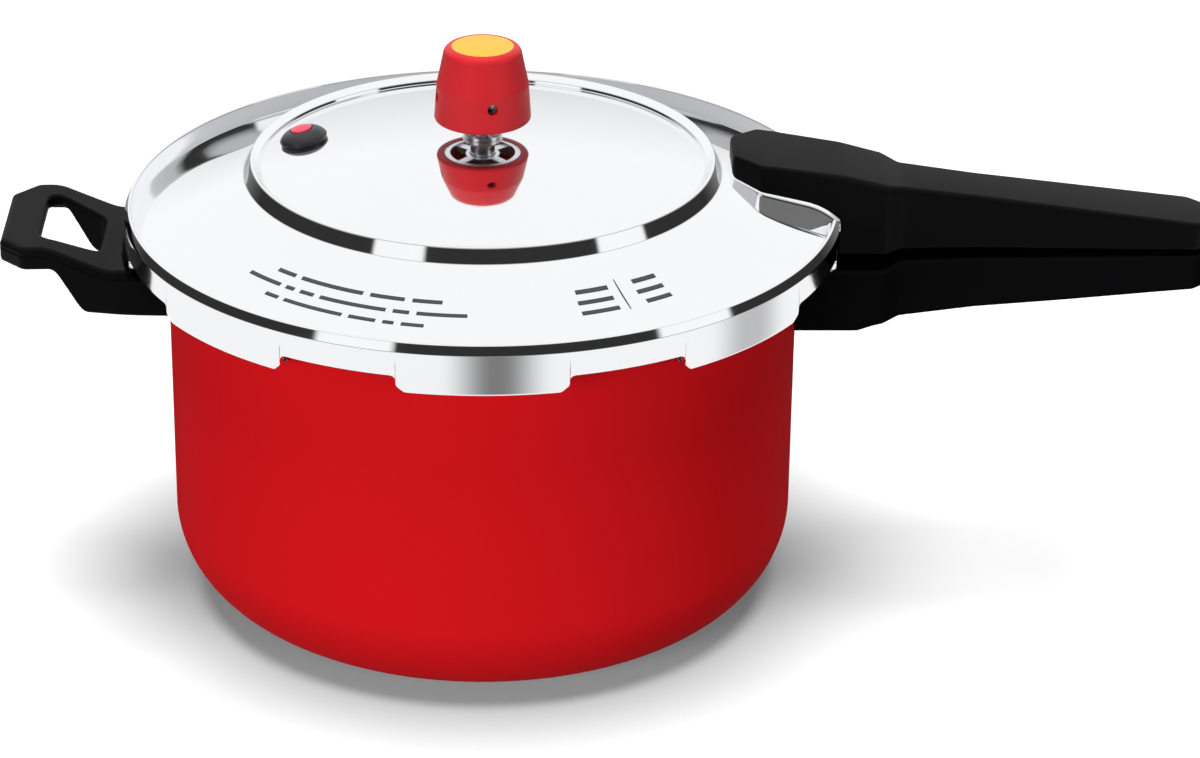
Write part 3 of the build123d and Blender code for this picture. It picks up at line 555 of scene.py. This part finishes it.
def lid_surface():
    """Lid of one sheet: a turned top and underside, with the skirt drawn down into eight lugs.

    In each column the skirt ends at the lug edge's height z. Where z is below the lip's top,
    the sheet turns in under the pot's tabs; elsewhere that lip has no width. Under the handle
    pad the rim is held below the pad's crown.
    """
    skirt_top, wall_top, wall = 142.6, 137.4, SKIRT - SHEET
    dome = np.linspace(STEM_HOLE, 78.3, 60)
    rim_round = ((RIM_INNER, RIM_TOP - 0.7), (124.55, RIM_TOP - 0.15), (125.0, RIM_TOP))
    top = softened(np.concatenate([
        np.stack([dome, dome_height(dome)], -1), BEAD, arc(*ANNULUS)[1:], arc(*rim_round, 8),
        [(125.45, RIM_TOP - 0.1), (126.5, SHOULDER + 0.1), (SKIRT, SHOULDER - 0.8),
         (SKIRT, skirt_top)]]), 0.40, 2.8, 6.2)
    edge = lug_edge()
    angles = np.concatenate([edge[:, 0] / SKIRT + k * PERIOD for k in range(8)])
    height = np.tile(edge[:, 1], 8)
    corner = np.interp(height, [LUG_BOTTOM, LIP_TOP, LUG_GAP], [2.5, 1.0, 0.5])
    corner_end = SKIRT - corner
    lip = np.minimum(np.where(height < LIP_TOP - 0.02, 119.4, wall), corner_end - 0.3)
    lip_under = np.maximum(height, LIP_TOP)
    rows = [np.broadcast_to(top.T[:, :, None], (2, len(top), len(angles)))]

    def draw(shares, start, end):
        """Rows at the given shares of the way from one (radius, height) to another."""
        for share in shares:
            row = [a + (b - a) * share + 0 * height for a, b in zip(start, end)]
            rows.append(np.array(row)[:, None])

    draw((0.3, 0.55, 0.78, 0.92), (SKIRT, skirt_top), (SKIRT, height + corner))
    for step in np.linspace(0, math.pi / 2, 6):
        rows.append(np.array([SKIRT - corner * (1 - math.cos(step)),
                              height + corner * (1 - math.sin(step))])[:, None])
    draw((0.15, 0.5, 0.85, 1.0), (corner_end, height), (lip, height))
    draw((0.5, 1.0), (lip, height), (lip, lip_under))
    draw((0.2, 0.8, 1.0), (lip, lip_under), (wall, lip_under))
    draw((0.15, 0.6, 1.0), (wall, lip_under), (wall, wall_top))
    outer = (GUTTER[0] - 0.8, GUTTER[1] - SHEET + 0.1)
    inner = (BEAD_OUTER[0] - 1.2, BEAD_OUTER[1] - SHEET + 0.3)
    dome = np.linspace(79.0, STEM_HOLE, 30)
    below = softened(np.concatenate([
        arc(outer, hollow_middle(inner, outer, 2.0), inner, 30),
        np.stack([dome, dome_height(dome) - SHEET], -1)]), 0.5, 9.0, 9.0)
    rows.append(np.broadcast_to(below.T[:, :, None], (2, len(below), len(angles))))
    r, z = np.concatenate(rows, axis=1)
    x, y = r * np.cos(angles), r * np.sin(angles)
    covered = smooth((21.0 - np.abs(y)) / 1.2) * smooth((x - 112.0) / 3.0)
    lowered = np.minimum(z, crown_height(np.minimum(x, 128.0)) - 0.5)
    return np.stack([x, y, z + (lowered - z) * covered], -1)


def lid_paint(centre):
    """1, satin, for the skirt and the underside; 0, mirror, for the top."""
    r = np.hypot(centre[:, 0], centre[:, 1])
    return np.where((r > SKIRT - SHEET - 0.3) & (centre[:, 2] < 143.6), 1, 0)


add_surface("lid_sheet", [lid_surface()], "lid", [mirror, satin_edge],
            wrap_rows=True, stands_for=["lid_shell"], paint=lid_paint)

PAD_DRAFT = math.tan(math.radians(16.0))
PAD_LEVEL = 156.0                   # height at which the pad's plan is given
PAD_HALF = 19.0                     # half its width there
PAD_BACK = 112.0                    # where its straight sides start along X
PAD_REACH = SKIRT - 0.06            # distance of its outer end from the axis
PAD_COLUMNS = (24, 240, 24, 48)     # columns on one side, the nose, the other side, the end


def pad_wall(z):
    """Plan of the pad's wall, column by column, at heights z.

    The wall leans out by the draft angle, so it stands (level - z) tan(draft) outside the
    plan. Its outer end lies on the skirt. The ring of columns is then averaged over nine
    neighbours, which rounds the corners where the sides meet the skirt.
    """
    near_lean, nose_lean, far_lean, end_lean = np.split((PAD_LEVEL - z) * PAD_DRAFT,
                                                        np.cumsum(PAD_COLUMNS)[:-1])
    nose = rounded([(PAD_BACK, -PAD_HALF), (97.2, -PAD_HALF), (87.0, -10.0), (87.0, 10.0),
                    (97.2, PAD_HALF), (PAD_BACK, PAD_HALF)], [5.0, 3.0, 3.0, 5.0], 10, 0.6)
    nose = spread(nose, PAD_COLUMNS[1])
    along = np.gradient(nose, axis=0)
    along /= np.linalg.norm(along, axis=1)[:, None]
    nose += np.stack([-along[:, 1], along[:, 0]], -1) * nose_lean[:, None]

    def side(lean, sign, share):
        """Straight side, whose places are shares of the way from the nose to the skirt."""
        half = PAD_HALF + lean
        reach = np.sqrt(PAD_REACH ** 2 - half ** 2)
        return np.stack([PAD_BACK + (reach - PAD_BACK) * share, sign * half], -1)

    share = np.linspace(0.0, 1.0, PAD_COLUMNS[0] + 1)[1:]
    turn = np.arcsin((PAD_HALF + end_lean) / PAD_REACH) * np.linspace(0.96, -0.96, PAD_COLUMNS[3])
    end = PAD_REACH * np.stack([np.cos(turn), np.sin(turn)], -1)
    ring = np.concatenate([side(near_lean, -1.0, share[::-1]), nose,
                           side(far_lean, 1.0, share), end])
    window = np.hanning(11)[1:-1] / np.hanning(11).sum()
    return sum(w * np.roll(ring, k, axis=0) for k, w in zip(range(-4, 5), window))


def pad_surface():
    """Raised pad: crown along the slope, a rounded top edge and drafted walls into the sheet.

    Rows go from the middle of the crown to its edge, over the edge, down the wall and back
    under it inside the sheet.
    """
    count = sum(PAD_COLUMNS)
    top = np.full(count, PAD_LEVEL)
    for _ in range(6):
        top = crown_height(pad_wall(top)[:, 0])
    foot = np.full(count, 150.0)
    for _ in range(6):
        reach = np.linalg.norm(pad_wall(foot), axis=1)
        foot = np.where(reach < 123.7, annulus_height(np.clip(reach, 84.3, 123.9)), 139.6)
    foot = foot - 0.5
    edge = np.minimum(1.4, (top - foot) * 0.45)
    shoulder = pad_wall(top - edge)
    spine = np.stack([np.clip(shoulder[:, 0], 95.0, 122.0), 0 * edge], -1)
    inward = spine - shoulder
    inward /= np.linalg.norm(inward, axis=1)[:, None]
    inner = shoulder + inward * (edge * 0.8)[:, None]
    rows = []
    for share in (0.0, 0.35, 0.7, 0.92, 1.0):
        place = spine + (inner - spine) * share
        rows.append(np.c_[place, crown_height(place[:, 0])])
    bows = np.radians([12.0, 25.0, 37.0, 50.0, 62.0, 74.0])
    for bow in bows:
        out = math.sin(bow) / math.sin(bows[-1])
        down = (1 - math.cos(bow)) / (1 - math.cos(bows[-1]))
        place = inner + (shoulder - inner) * out
        rows.append(np.c_[place, crown_height(inner[:, 0]) * (1 - down) + (top - edge) * down])
    for share in (0.06, 0.2, 0.4, 0.6, 0.8, 1.0):
        z = (top - edge) + (foot - (top - edge)) * share
        rows.append(np.c_[pad_wall(z), z])
    last = rows[-1]
    for share in (0.3, 1.0):
        place = last[:, :2] + (spine - last[:, :2]) * share
        reach = np.clip(np.linalg.norm(place, axis=1), 84.3, 123.0)
        rows.append(np.c_[place, np.minimum(annulus_height(reach) - 1.2, last[:, 2])])
    return np.stack(rows)


pad = add_surface("handle_pad", [pad_surface()], "lid", [mirror])
pad.visible_glossy = False


# ---------------------------------------------------------------- printed marks on the lid
def strip(radius, start, end, height, lift=0.02):
    """Thin closed bar that follows the ring: angles start to end in degrees, at a radius."""
    angle = np.radians(np.linspace(start, end, max(3, int(abs(end - start) * 2) + 2)))
    rows = []
    for across, up in ((-0.5, lift), (0.5, lift), (0.5, -0.3), (-0.5, -0.3)):
        r = radius + across * height
        z = annulus_height(r) + up + 0 * angle
        rows.append(np.stack([r * np.cos(angle), r * np.sin(angle), z], -1))
    grid = np.stack(rows, 1)
    first, last = (np.broadcast_to(grid[k].mean(0), (1, 4, 3)) for k in (0, -1))
    return np.concatenate([first, grid, last])


def marks():
    """Lines of greeked words as plain bars, with two short columns and a dividing stroke."""
    lines = [
        (98.0, -134.6, -97.8, (4, 12, 6, 5)),
        (102.9, -139.8, -92.8, (8, 2, 3, 13, 3, 9)),
        (107.8, -132.6, -100.4, (3, 12, 5, 2, 4)),
    ]
    bars, gap = [], 1.3
    for radius, start, end, words in lines:
        letter = (end - start) / (sum(words) + gap * (len(words) - 1))
        place = start
        for word in words:
            bars.append(strip(radius, place, place + word * letter, 1.5))
            place += (word + gap) * letter
    for radius, first, second in ((96.2, (-71.3, -64.3), (-58.7, -53.0)),
                                  (100.4, (-71.6, -64.2), (-59.0, -52.9)),
                                  (104.6, (-71.6, -64.1), (-58.4, -52.8))):
        bars += [strip(radius, *first, 1.7), strip(radius, *second, 1.7)]
    bars.append(strip(100.0, -62.35, -62.15, 12.4))
    return bars


add_surface("lid_print", marks(), "lid", [ink])


# ---------------------------------------------------------------- handles
def bar_loft(x, half, low, high, low_round, high_round, crown, end_round):
    """Bar along X: rounded-rectangle sections whose half width, low and high are functions of x.

    Each corner is an arc of its own radius with a guard point at either side. The top is
    crowned by crown (1 - (y / half)^2). Both ends are rounded by drawing the last sections in.
    """
    turn = np.linspace(0, math.pi / 2, 8)[None, :]
    into_end = np.maximum(np.maximum(x[0] + end_round - x, x - (x[-1] - end_round)), 0.0)
    shrink = end_round - np.sqrt(np.maximum(end_round ** 2 - into_end ** 2, 0.0))
    half, low, high = half - shrink, low + shrink, high - shrink
    low_round = np.minimum(low_round, half * 0.8)[:, None]
    high_round = np.minimum(high_round, half * 0.8)[:, None]
    w, b, t = half[:, None], low[:, None], high[:, None]
    guard = 0.4
    y = [0 * w, w * 0.5, w - low_round - guard, w - low_round + low_round * np.sin(turn), w, w,
         w, w - high_round + high_round * np.cos(turn), w - high_round - guard, w * 0.5]
    z = [b, b, b, b + low_round * (1 - np.cos(turn)), b + low_round + guard, (b + t) / 2,
         t - high_round - guard, t - high_round + high_round * np.sin(turn), t, t]
    y, z = np.concatenate(y, 1), np.concatenate(z, 1)
    z = z + crown * (1 - (y / w) ** 2) * (z > t - high_round * 1.01)
    y = np.concatenate([y, 0 * w, -y[:, :0:-1]], 1)
    z = np.concatenate([z, t + crown, z[:, :0:-1]], 1)
    return np.stack([x[:, None] + 0 * y, y, z], -1)


def closed_ends(grid):
    """Grid of sections with each end drawn to its middle: a ring near the edge, then a point."""
    def drawn(section, shares):
        """Copies of a section, each drawn towards its middle by a share of the way."""
        return [section + (section.mean(0) - section) * share for share in shares]

    return np.stack([*drawn(grid[0], (1.0, 0.5, 0.04)), *grid, *drawn(grid[-1], (0.04, 0.5, 1.0))])


def stations(start, end, kinks, end_round):
    """Places along X: every 3.5 mm, closer at the kinks and through the rounded ends."""
    bow = end_round * (1 - np.cos(np.linspace(0, math.pi / 2, 8)))
    places = [np.arange(start + end_round, end - end_round, 3.5), start + bow, end - bow]
    places += [k + np.linspace(-2.4, 2.4, 9) for k in kinks]
    places = np.unique(np.round(np.concatenate(places), 3))
    places = places[(places >= start) & (places <= end)]
    keep = np.r_[True, np.diff(places) > 0.05]
    return places[keep]


def handle_half(x, inner):
    """Half width of a long handle: block, narrow neck, widening grip with a drawn-in end."""
    places = [*inner[0], 142.0, 148.0, 175.0, 252.0, 258.0]
    values = [*inner[1], 18.2, 13.2, 12.0, 13.5, 9.0]
    return bent(x, places, values, 1.2)


def upper_handle_surface():
    """Lid's handle: its top falls towards the grip, its underside lies on the pad's crown."""
    x = stations(87.7, HANDLE_END, [97.5, 104.0, 125.3, 142.0, 148.0, 175.0, 251.0], 1.6)
    x = np.unique(np.r_[x, 125.2, 125.3])
    half = handle_half(x, ([80.0, 87.7, 97.5], [2.3, 9.4, 18.2]))
    high = bent(x, [85.7, 98, 103, 127.5, 142, 148, 175, 249, 258],
                [166.5, 165.7, 165.1, 161.3, 157.5, 155.4, 151.7, 142.1, 140.9], 2.0)
    under = bent(x, [125.3, 258.0], [132.5, 131.9], 0.5)
    low = np.where(x < 125.25, crown_height(np.minimum(x, 125.0)) - 0.35, under)
    bevel = bent(x, [87.0, 98.0, 141.0, 148.0, 175.0, 258.0], [1.2, 1.3, 3.4, 2.2, 1.8, 1.6], 3.0)
    return closed_ends(bar_loft(x, half, low, high, 0 * x + 1.0, bevel, 0.35, 1.6))


def lower_handle_surface():
    """Pot's handle: a block against the wall, its underside rising towards the grip's end."""
    x = stations(110.45, HANDLE_END, [136.0, 142.0, 148.0, 251.0], 1.6)
    x = x[(x > 112.1) | (x < 110.5)]
    half = handle_half(x, ([100.0], [18.2]))
    high = bent(x, [100, 136, 142, 148, 258], [126.3, 125.8, 125.8, 127.6, 129.7], 1.5)
    low = bent(x, [105, 127, 133, 140, 148, 175, 208, 241, 258],
               [100.0, 100.2, 102.3, 104.7, 106.0, 109.0, 112.0, 115.4, 117.0], 3.0)
    grid = bar_loft(x, half, low, high, 0 * x + 1.8, 0 * x + 1.2, 0.0, 1.6)
    grid[:6, :, 1:] = grid[6, :, 1:]    # square, not rounded, where it meets the wall
    return closed_ends(grid)


lid_handle = add_surface("lid_handle", [upper_handle_surface()], "lid", [phenolic],
                         stands_for=["upper_handle"], angle=40.0)
lid_handle.visible_glossy = False
for node in ("upper_handle_screws", "upper_handle_inserts", "upper_handle_washers"):
    nodes[node].visible_glossy = False
# The pot's handle takes the sheenless copy of the phenolic: painted shade on its top, under the
# lid's handle
add_surface("pot_handle", [lower_handle_surface()], "pot", [phenolic_painted_shade],
            stands_for=["lower_handle"])


def ray_reach(line, centre, angles):
    """Distance from a centre to a closed outline in each direction, for a star-shaped outline."""
    fine = spread(line, 6000) - centre
    turn, reach = np.arctan2(fine[:, 1], fine[:, 0]), np.hypot(fine[:, 0], fine[:, 1])
    return np.interp(angles, turn, reach, period=2 * math.pi)


HELPER_SEAT = 111.4    # radius of the helper handle's end, just inside the pot's wall


def helper_surface():
    """Helper handle: a ring between its outline and the finger hole, in an S curve seen from
    the side, with rounded edges, a parting groove below the top edge and a hollow underside.

    Columns are rays from the hole's middle. Rows go over the top, down the outside, back under
    and up through the hole, as a share of the way from hole to outline plus an edge rounding.
    """
    middle = np.array([-146.0, 0.0])
    angles = even_turn(400) - math.pi
    wall = [(-math.sqrt(HELPER_SEAT ** 2 - y * y), y) for y in np.linspace(-27.4, 27.4, 15)]
    corners = [(-120.0, -29.3), (-128.0, -30.0), (-161.0, -30.0), (HELPER_END, -21.0),
               (HELPER_END, 21.0), (-161.0, 30.0), (-128.0, 30.0), (-120.0, 29.3)]
    outside = rounded([wall[0], *corners, wall[-1]], [2.0, 6.0, 4.0, 3.0, 3.0, 4.0, 6.0, 2.0], 10)
    outside = np.concatenate([outside, np.array(wall)[::-1]])
    hole = rounded([(-146.0, -17.7), (-156.0, -20.5), (-156.0, 20.5), (-135.2, 14.6),
                    (-135.2, -14.6), (-146.0, -17.7)], [4.5, 4.5, 4.5, 4.5], 10)
    far, near = ray_reach(outside, middle, angles), ray_reach(hole, middle, angles)
    ray = np.stack([np.cos(angles), np.sin(angles)], -1)

    def top(x):
        """Top of the handle along X."""
        return bent(x, [-169.5, -152.8, -131.8, -105.0], [139.4, 139.8, 130.8, 130.8], 4.5)

    def bottom(x):
        """Underside of the handle along X."""
        return bent(x, [-169.5, -149.8, -140.4, -105.0], [131.3, 131.6, 115.2, 112.2], 2.6)

    def hollow(x):
        """Underside round the hole, higher than the rim of the underside."""
        return np.minimum(bottom(x) + 3.6 * smooth((-112.0 - x) / 14.0), top(x) - 4.0)

    rows = []
    edge, groove, low_edge, hole_edge, hole_low = 2.2, 1.0, 1.4, 1.3, 1.0
    inner, outer = near + hole_edge, far - edge
    rib = np.minimum(4.2, (far - near) * 0.4)
    rib_end = far - rib - 0.6

    def at(distance, height):
        """Row from a distance along the rays and a height function."""
        place = middle + ray * distance[:, None]
        rows.append(np.c_[place, height(place[:, 0])])

    for share in np.linspace(0.0, 1.0, 22):
        at(inner + (outer - inner) * share, top)
    for step in np.radians([18, 36, 54, 72, 90]):
        at(outer + edge * math.sin(step), lambda x: top(x) - edge * (1 - math.cos(step)))
    for drop, depth in ((0.25, 0.0), (0.5, 0.35), (0.75, 0.35), (groove, 0.0)):
        at(far - depth, lambda x: top(x) - edge - drop)
    for share in (0.08, 0.35, 0.7, 0.95):
        at(far, lambda x: (top(x) - edge - groove) * (1 - share) + (bottom(x) + low_edge) * share)
    for step in np.radians([0, 22, 45, 68, 90]):
        at(far - low_edge * (1 - math.cos(step)),
           lambda x: bottom(x) + low_edge * (1 - math.sin(step)))
    for share in (0.1, 0.5, 0.9):
        at(far - low_edge - (rib - low_edge) * share, bottom)
    for share in (0.1, 0.5, 0.9):
        at(far - rib - 0.5 * share, lambda x: bottom(x) + (hollow(x) - bottom(x)) * share)
    for share in np.linspace(0.06, 0.94, 14):
        at(rib_end + (near + hole_low - rib_end) * share, hollow)
    for step in np.radians([0, 22, 45, 68, 90]):
        at(near + hole_low * (1 - math.sin(step)),
           lambda x: hollow(x) + hole_low * (1 - math.cos(step)))
    for share in (0.08, 0.5, 0.92):
        at(near, lambda x: (hollow(x) + hole_low) * (1 - share) + (top(x) - hole_edge) * share)
    for step in np.radians([0, 22, 45, 68]):
        at(near + hole_edge * (1 - math.cos(step)),
           lambda x: top(x) - hole_edge * (1 - math.sin(step)))
    grid = np.stack(rows)
    reach = np.hypot(grid[..., 0], grid[..., 1])
    under_skirt = smooth((SKIRT + 1.0 - reach) / 0.8)
    grid[..., 2] += under_skirt * (np.minimum(grid[..., 2], 127.5) - grid[..., 2])
    grid[..., :2] *= np.maximum(1.0, HELPER_SEAT / reach)[..., None]
    return grid


add_surface("side_handle", [helper_surface()], "pot", [phenolic],
            wrap_rows=True, stands_for=["helper_handle"])


# ---------------------------------------------------------------- stage, light and camera
def make_floor():
    """Round pale floor in one plane, wide enough for the object's shadow."""
    angles = even_turn(96)
    rings = np.stack([np.stack([r * np.cos(angles), r * np.sin(angles), 0 * angles], -1)
                      for r in (0.0001, 0.3, 1.2, 4.0)])
    mesh = bpy.data.meshes.new("floor")
    faces = grid_faces(*rings.shape[:2])[:, ::-1]
    mesh.from_pydata(rings.reshape(-1, 3).tolist(), [], faces.tolist())
    material = bpy.data.materials.new("floor_white")
    material.use_nodes = True
    shader = material.node_tree.nodes["Principled BSDF"]
    shader.inputs["Base Color"].default_value = (0.88, 0.88, 0.88, 1.0)
    shader.inputs["Roughness"].default_value = 0.9
    shader.inputs["Specular IOR Level"].default_value = 0.1
    mesh.materials.append(material)
    floor = bpy.data.objects.new("floor", mesh)
    bpy.context.scene.collection.objects.link(floor)
    floor.location.z = -0.0002
    floor.visible_glossy = False
    floor.visible_diffuse = False
    return floor


make_floor()


def make_world():
    """White studio with one dark screen for reflections.

    The screen is bent round the object so that a polished face shows it by its own tilt: with
    f the direction of the front and d that of a reflection, the face's normal is along d + f.
    Faces tilted 7 to 52 degrees up from upright see the screen, except at two windows in it,
    and upright faces see two grey patches. The studio is darker towards the back.
    """
    world = bpy.data.worlds.new("studio")
    bpy.context.scene.world = world
    world.use_nodes = True
    tree = world.node_tree
    tree.nodes.clear()
    way = tree.nodes.new("ShaderNodeTexCoord").outputs["Generated"]
    halfway = tree.nodes.new("ShaderNodeVectorMath")
    tree.links.new(way, halfway.inputs[0])
    halfway.inputs[1].default_value = (0.0, -0.906, 0.4236)
    unit = tree.nodes.new("ShaderNodeVectorMath")
    unit.operation = "NORMALIZE"
    tree.links.new(halfway.outputs[0], unit.inputs[0])
    split = tree.nodes.new("ShaderNodeSeparateXYZ")
    tree.links.new(unit.outputs[0], split.inputs[0])
    x, y, z = (split.outputs[k] for k in "XYZ")
    side = math_node(tree, "ARCTAN2", x, math_node(tree, "MULTIPLY", y, -1.0))
    tilt = math_node(tree, "ARCSINE", z)

    def band(value, low, high, soft):
        """1 between low and high degrees, falling to 0 over soft degrees outside."""
        ends = []
        for start, end in ((low - soft, low), (high + soft, high)):
            node = tree.nodes.new("ShaderNodeMapRange")
            node.interpolation_type = "SMOOTHSTEP"
            tree.links.new(value, node.inputs["Value"])
            node.inputs["From Min"].default_value = math.radians(start)
            node.inputs["From Max"].default_value = math.radians(end)
            ends.append(node.outputs[0])
        return math_node(tree, "MULTIPLY", *ends)

    ramp = tree.nodes.new("ShaderNodeValToRGB")
    place = math_node(tree, "MULTIPLY_ADD", tilt, math.degrees(1.0) / 100.0, 0.10)
    tree.links.new(place, ramp.inputs[0])
    steps = [(-10, 1.0), (7, 1.0), (11.5, 0.20), (17, 0.17), (20, 0.03), (31, 0.03), (35, 0.50),
             (48.5, 0.62), (52.5, 1.0), (90, 1.0)]
    stops = ramp.color_ramp.elements
    for k, (degrees, level) in enumerate(steps):
        stop = stops[k] if k < 2 else stops.new(1.0)
        stop.position = (degrees + 10) / 100
        stop.color = (level, level, level, 1.0)
    screen = ramp.outputs[0]
    for start, end in ((-26.3, -14.8), (29.5, 42.0)):
        window = math_node(tree, "MULTIPLY", band(side, start, end, 1.5),
                           band(tilt, 19.0, 33.0, 2.0))
        screen = math_node(tree, "MAXIMUM", screen, window)
    sides = math_node(tree, "MULTIPLY_ADD", band(side, -62.0, 62.0, 45.0), -0.42, 0.42)
    screen = math_node(tree, "MAXIMUM", screen, sides)
    front = math_node(tree, "MULTIPLY", band(side, 1.5, 3.0, 8.5), 0.80)
    right = math_node(tree, "MULTIPLY", band(side, 46.0, 49.0, 8.0), 0.45)
    low_front = math_node(tree, "MULTIPLY", math_node(tree, "MAXIMUM", front, right),
                          band(tilt, -20.0, 6.0, 6.0))
    far = tree.nodes.new("ShaderNodeMapRange")
    tree.links.new(y, far.inputs["Value"])
    for label, value in (("From Min", 0.0), ("From Max", 0.26), ("To Min", 1.0), ("To Max", 0.74)):
        far.inputs[label].default_value = value
    screen = math_node(tree, "MULTIPLY", screen, far.outputs[0])
    unpatched = math_node(tree, "MULTIPLY_ADD", low_front, -1.0, 1.0)
    bright = math_node(tree, "MULTIPLY", screen, unpatched)
    path = tree.nodes.new("ShaderNodeLightPath")

    def background(level):
        """White background of a given strength."""
        node = tree.nodes.new("ShaderNodeBackground")
        node.inputs["Color"].default_value = (1.0, 1.0, 1.0, 1.0)
        feed(tree, level, node.inputs["Strength"])
        return node.outputs[0]

    def mixed(mask, first, second):
        """second where the mask is 1, first elsewhere."""
        node = tree.nodes.new("ShaderNodeMixShader")
        for socket, value in zip(node.inputs, (mask, first, second)):
            tree.links.new(value, socket)
        return node.outputs[0]

    seen = mixed(path.outputs["Is Glossy Ray"], background(0.14), background(bright))
    seen = mixed(path.outputs["Is Camera Ray"], seen, background(1.0))
    out = tree.nodes.new("ShaderNodeOutputWorld")
    tree.links.new(seen, out.inputs["Surface"])


make_world()


def add_light(name, place, power, target=(0.0, 0.0, 0.08), size=0.5):
    """Square soft light that reflections and the camera don't see."""
    light = bpy.data.lights.new(name, "AREA")
    light.shape = "SQUARE"
    light.size = size
    light.energy = power
    lamp = bpy.data.objects.new(name, light)
    bpy.context.scene.collection.objects.link(lamp)
    lamp.location = place
    lamp.rotation_euler = (Vector(target) - Vector(place)).to_track_quat("-Z", "Y").to_euler()
    lamp.visible_camera = False
    lamp.visible_glossy = False
    return lamp


add_light("key", (-0.75, -1.03, 0.22), 11.0)
add_light("fill", (0.80, -1.00, 0.22), 4.9)

sky = bpy.data.lights.new("ceiling", "SUN")
sky.energy = 4.1
sky.angle = math.radians(44.0)
ceiling = bpy.data.objects.new("ceiling", sky)
bpy.context.scene.collection.objects.link(ceiling)
ceiling.location = (0.0, 0.0, 2.0)
ceiling.visible_glossy = False

VIEW_RISE = math.radians(25.06)
VIEW_REACH = 1.391
TARGET = Vector((0.0, 0.0, 0.090))
lens = bpy.data.cameras.new("camera")
lens.sensor_width = 36.0
lens.lens = 115.6
lens.shift_x = 0.0978
lens.shift_y = -0.0309
lens.clip_start = 0.05
camera = bpy.data.objects.new("camera", lens)
bpy.context.scene.collection.objects.link(camera)
camera.location = TARGET + Vector((0.0, -math.cos(VIEW_RISE), math.sin(VIEW_RISE))) * VIEW_REACH
camera.rotation_euler = (math.pi / 2 - VIEW_RISE, 0.0, 0.0)
bpy.context.scene.camera = camera
bpy.context.scene.view_settings.view_transform = "Standard"
bpy.context.scene.view_settings.look = "None"
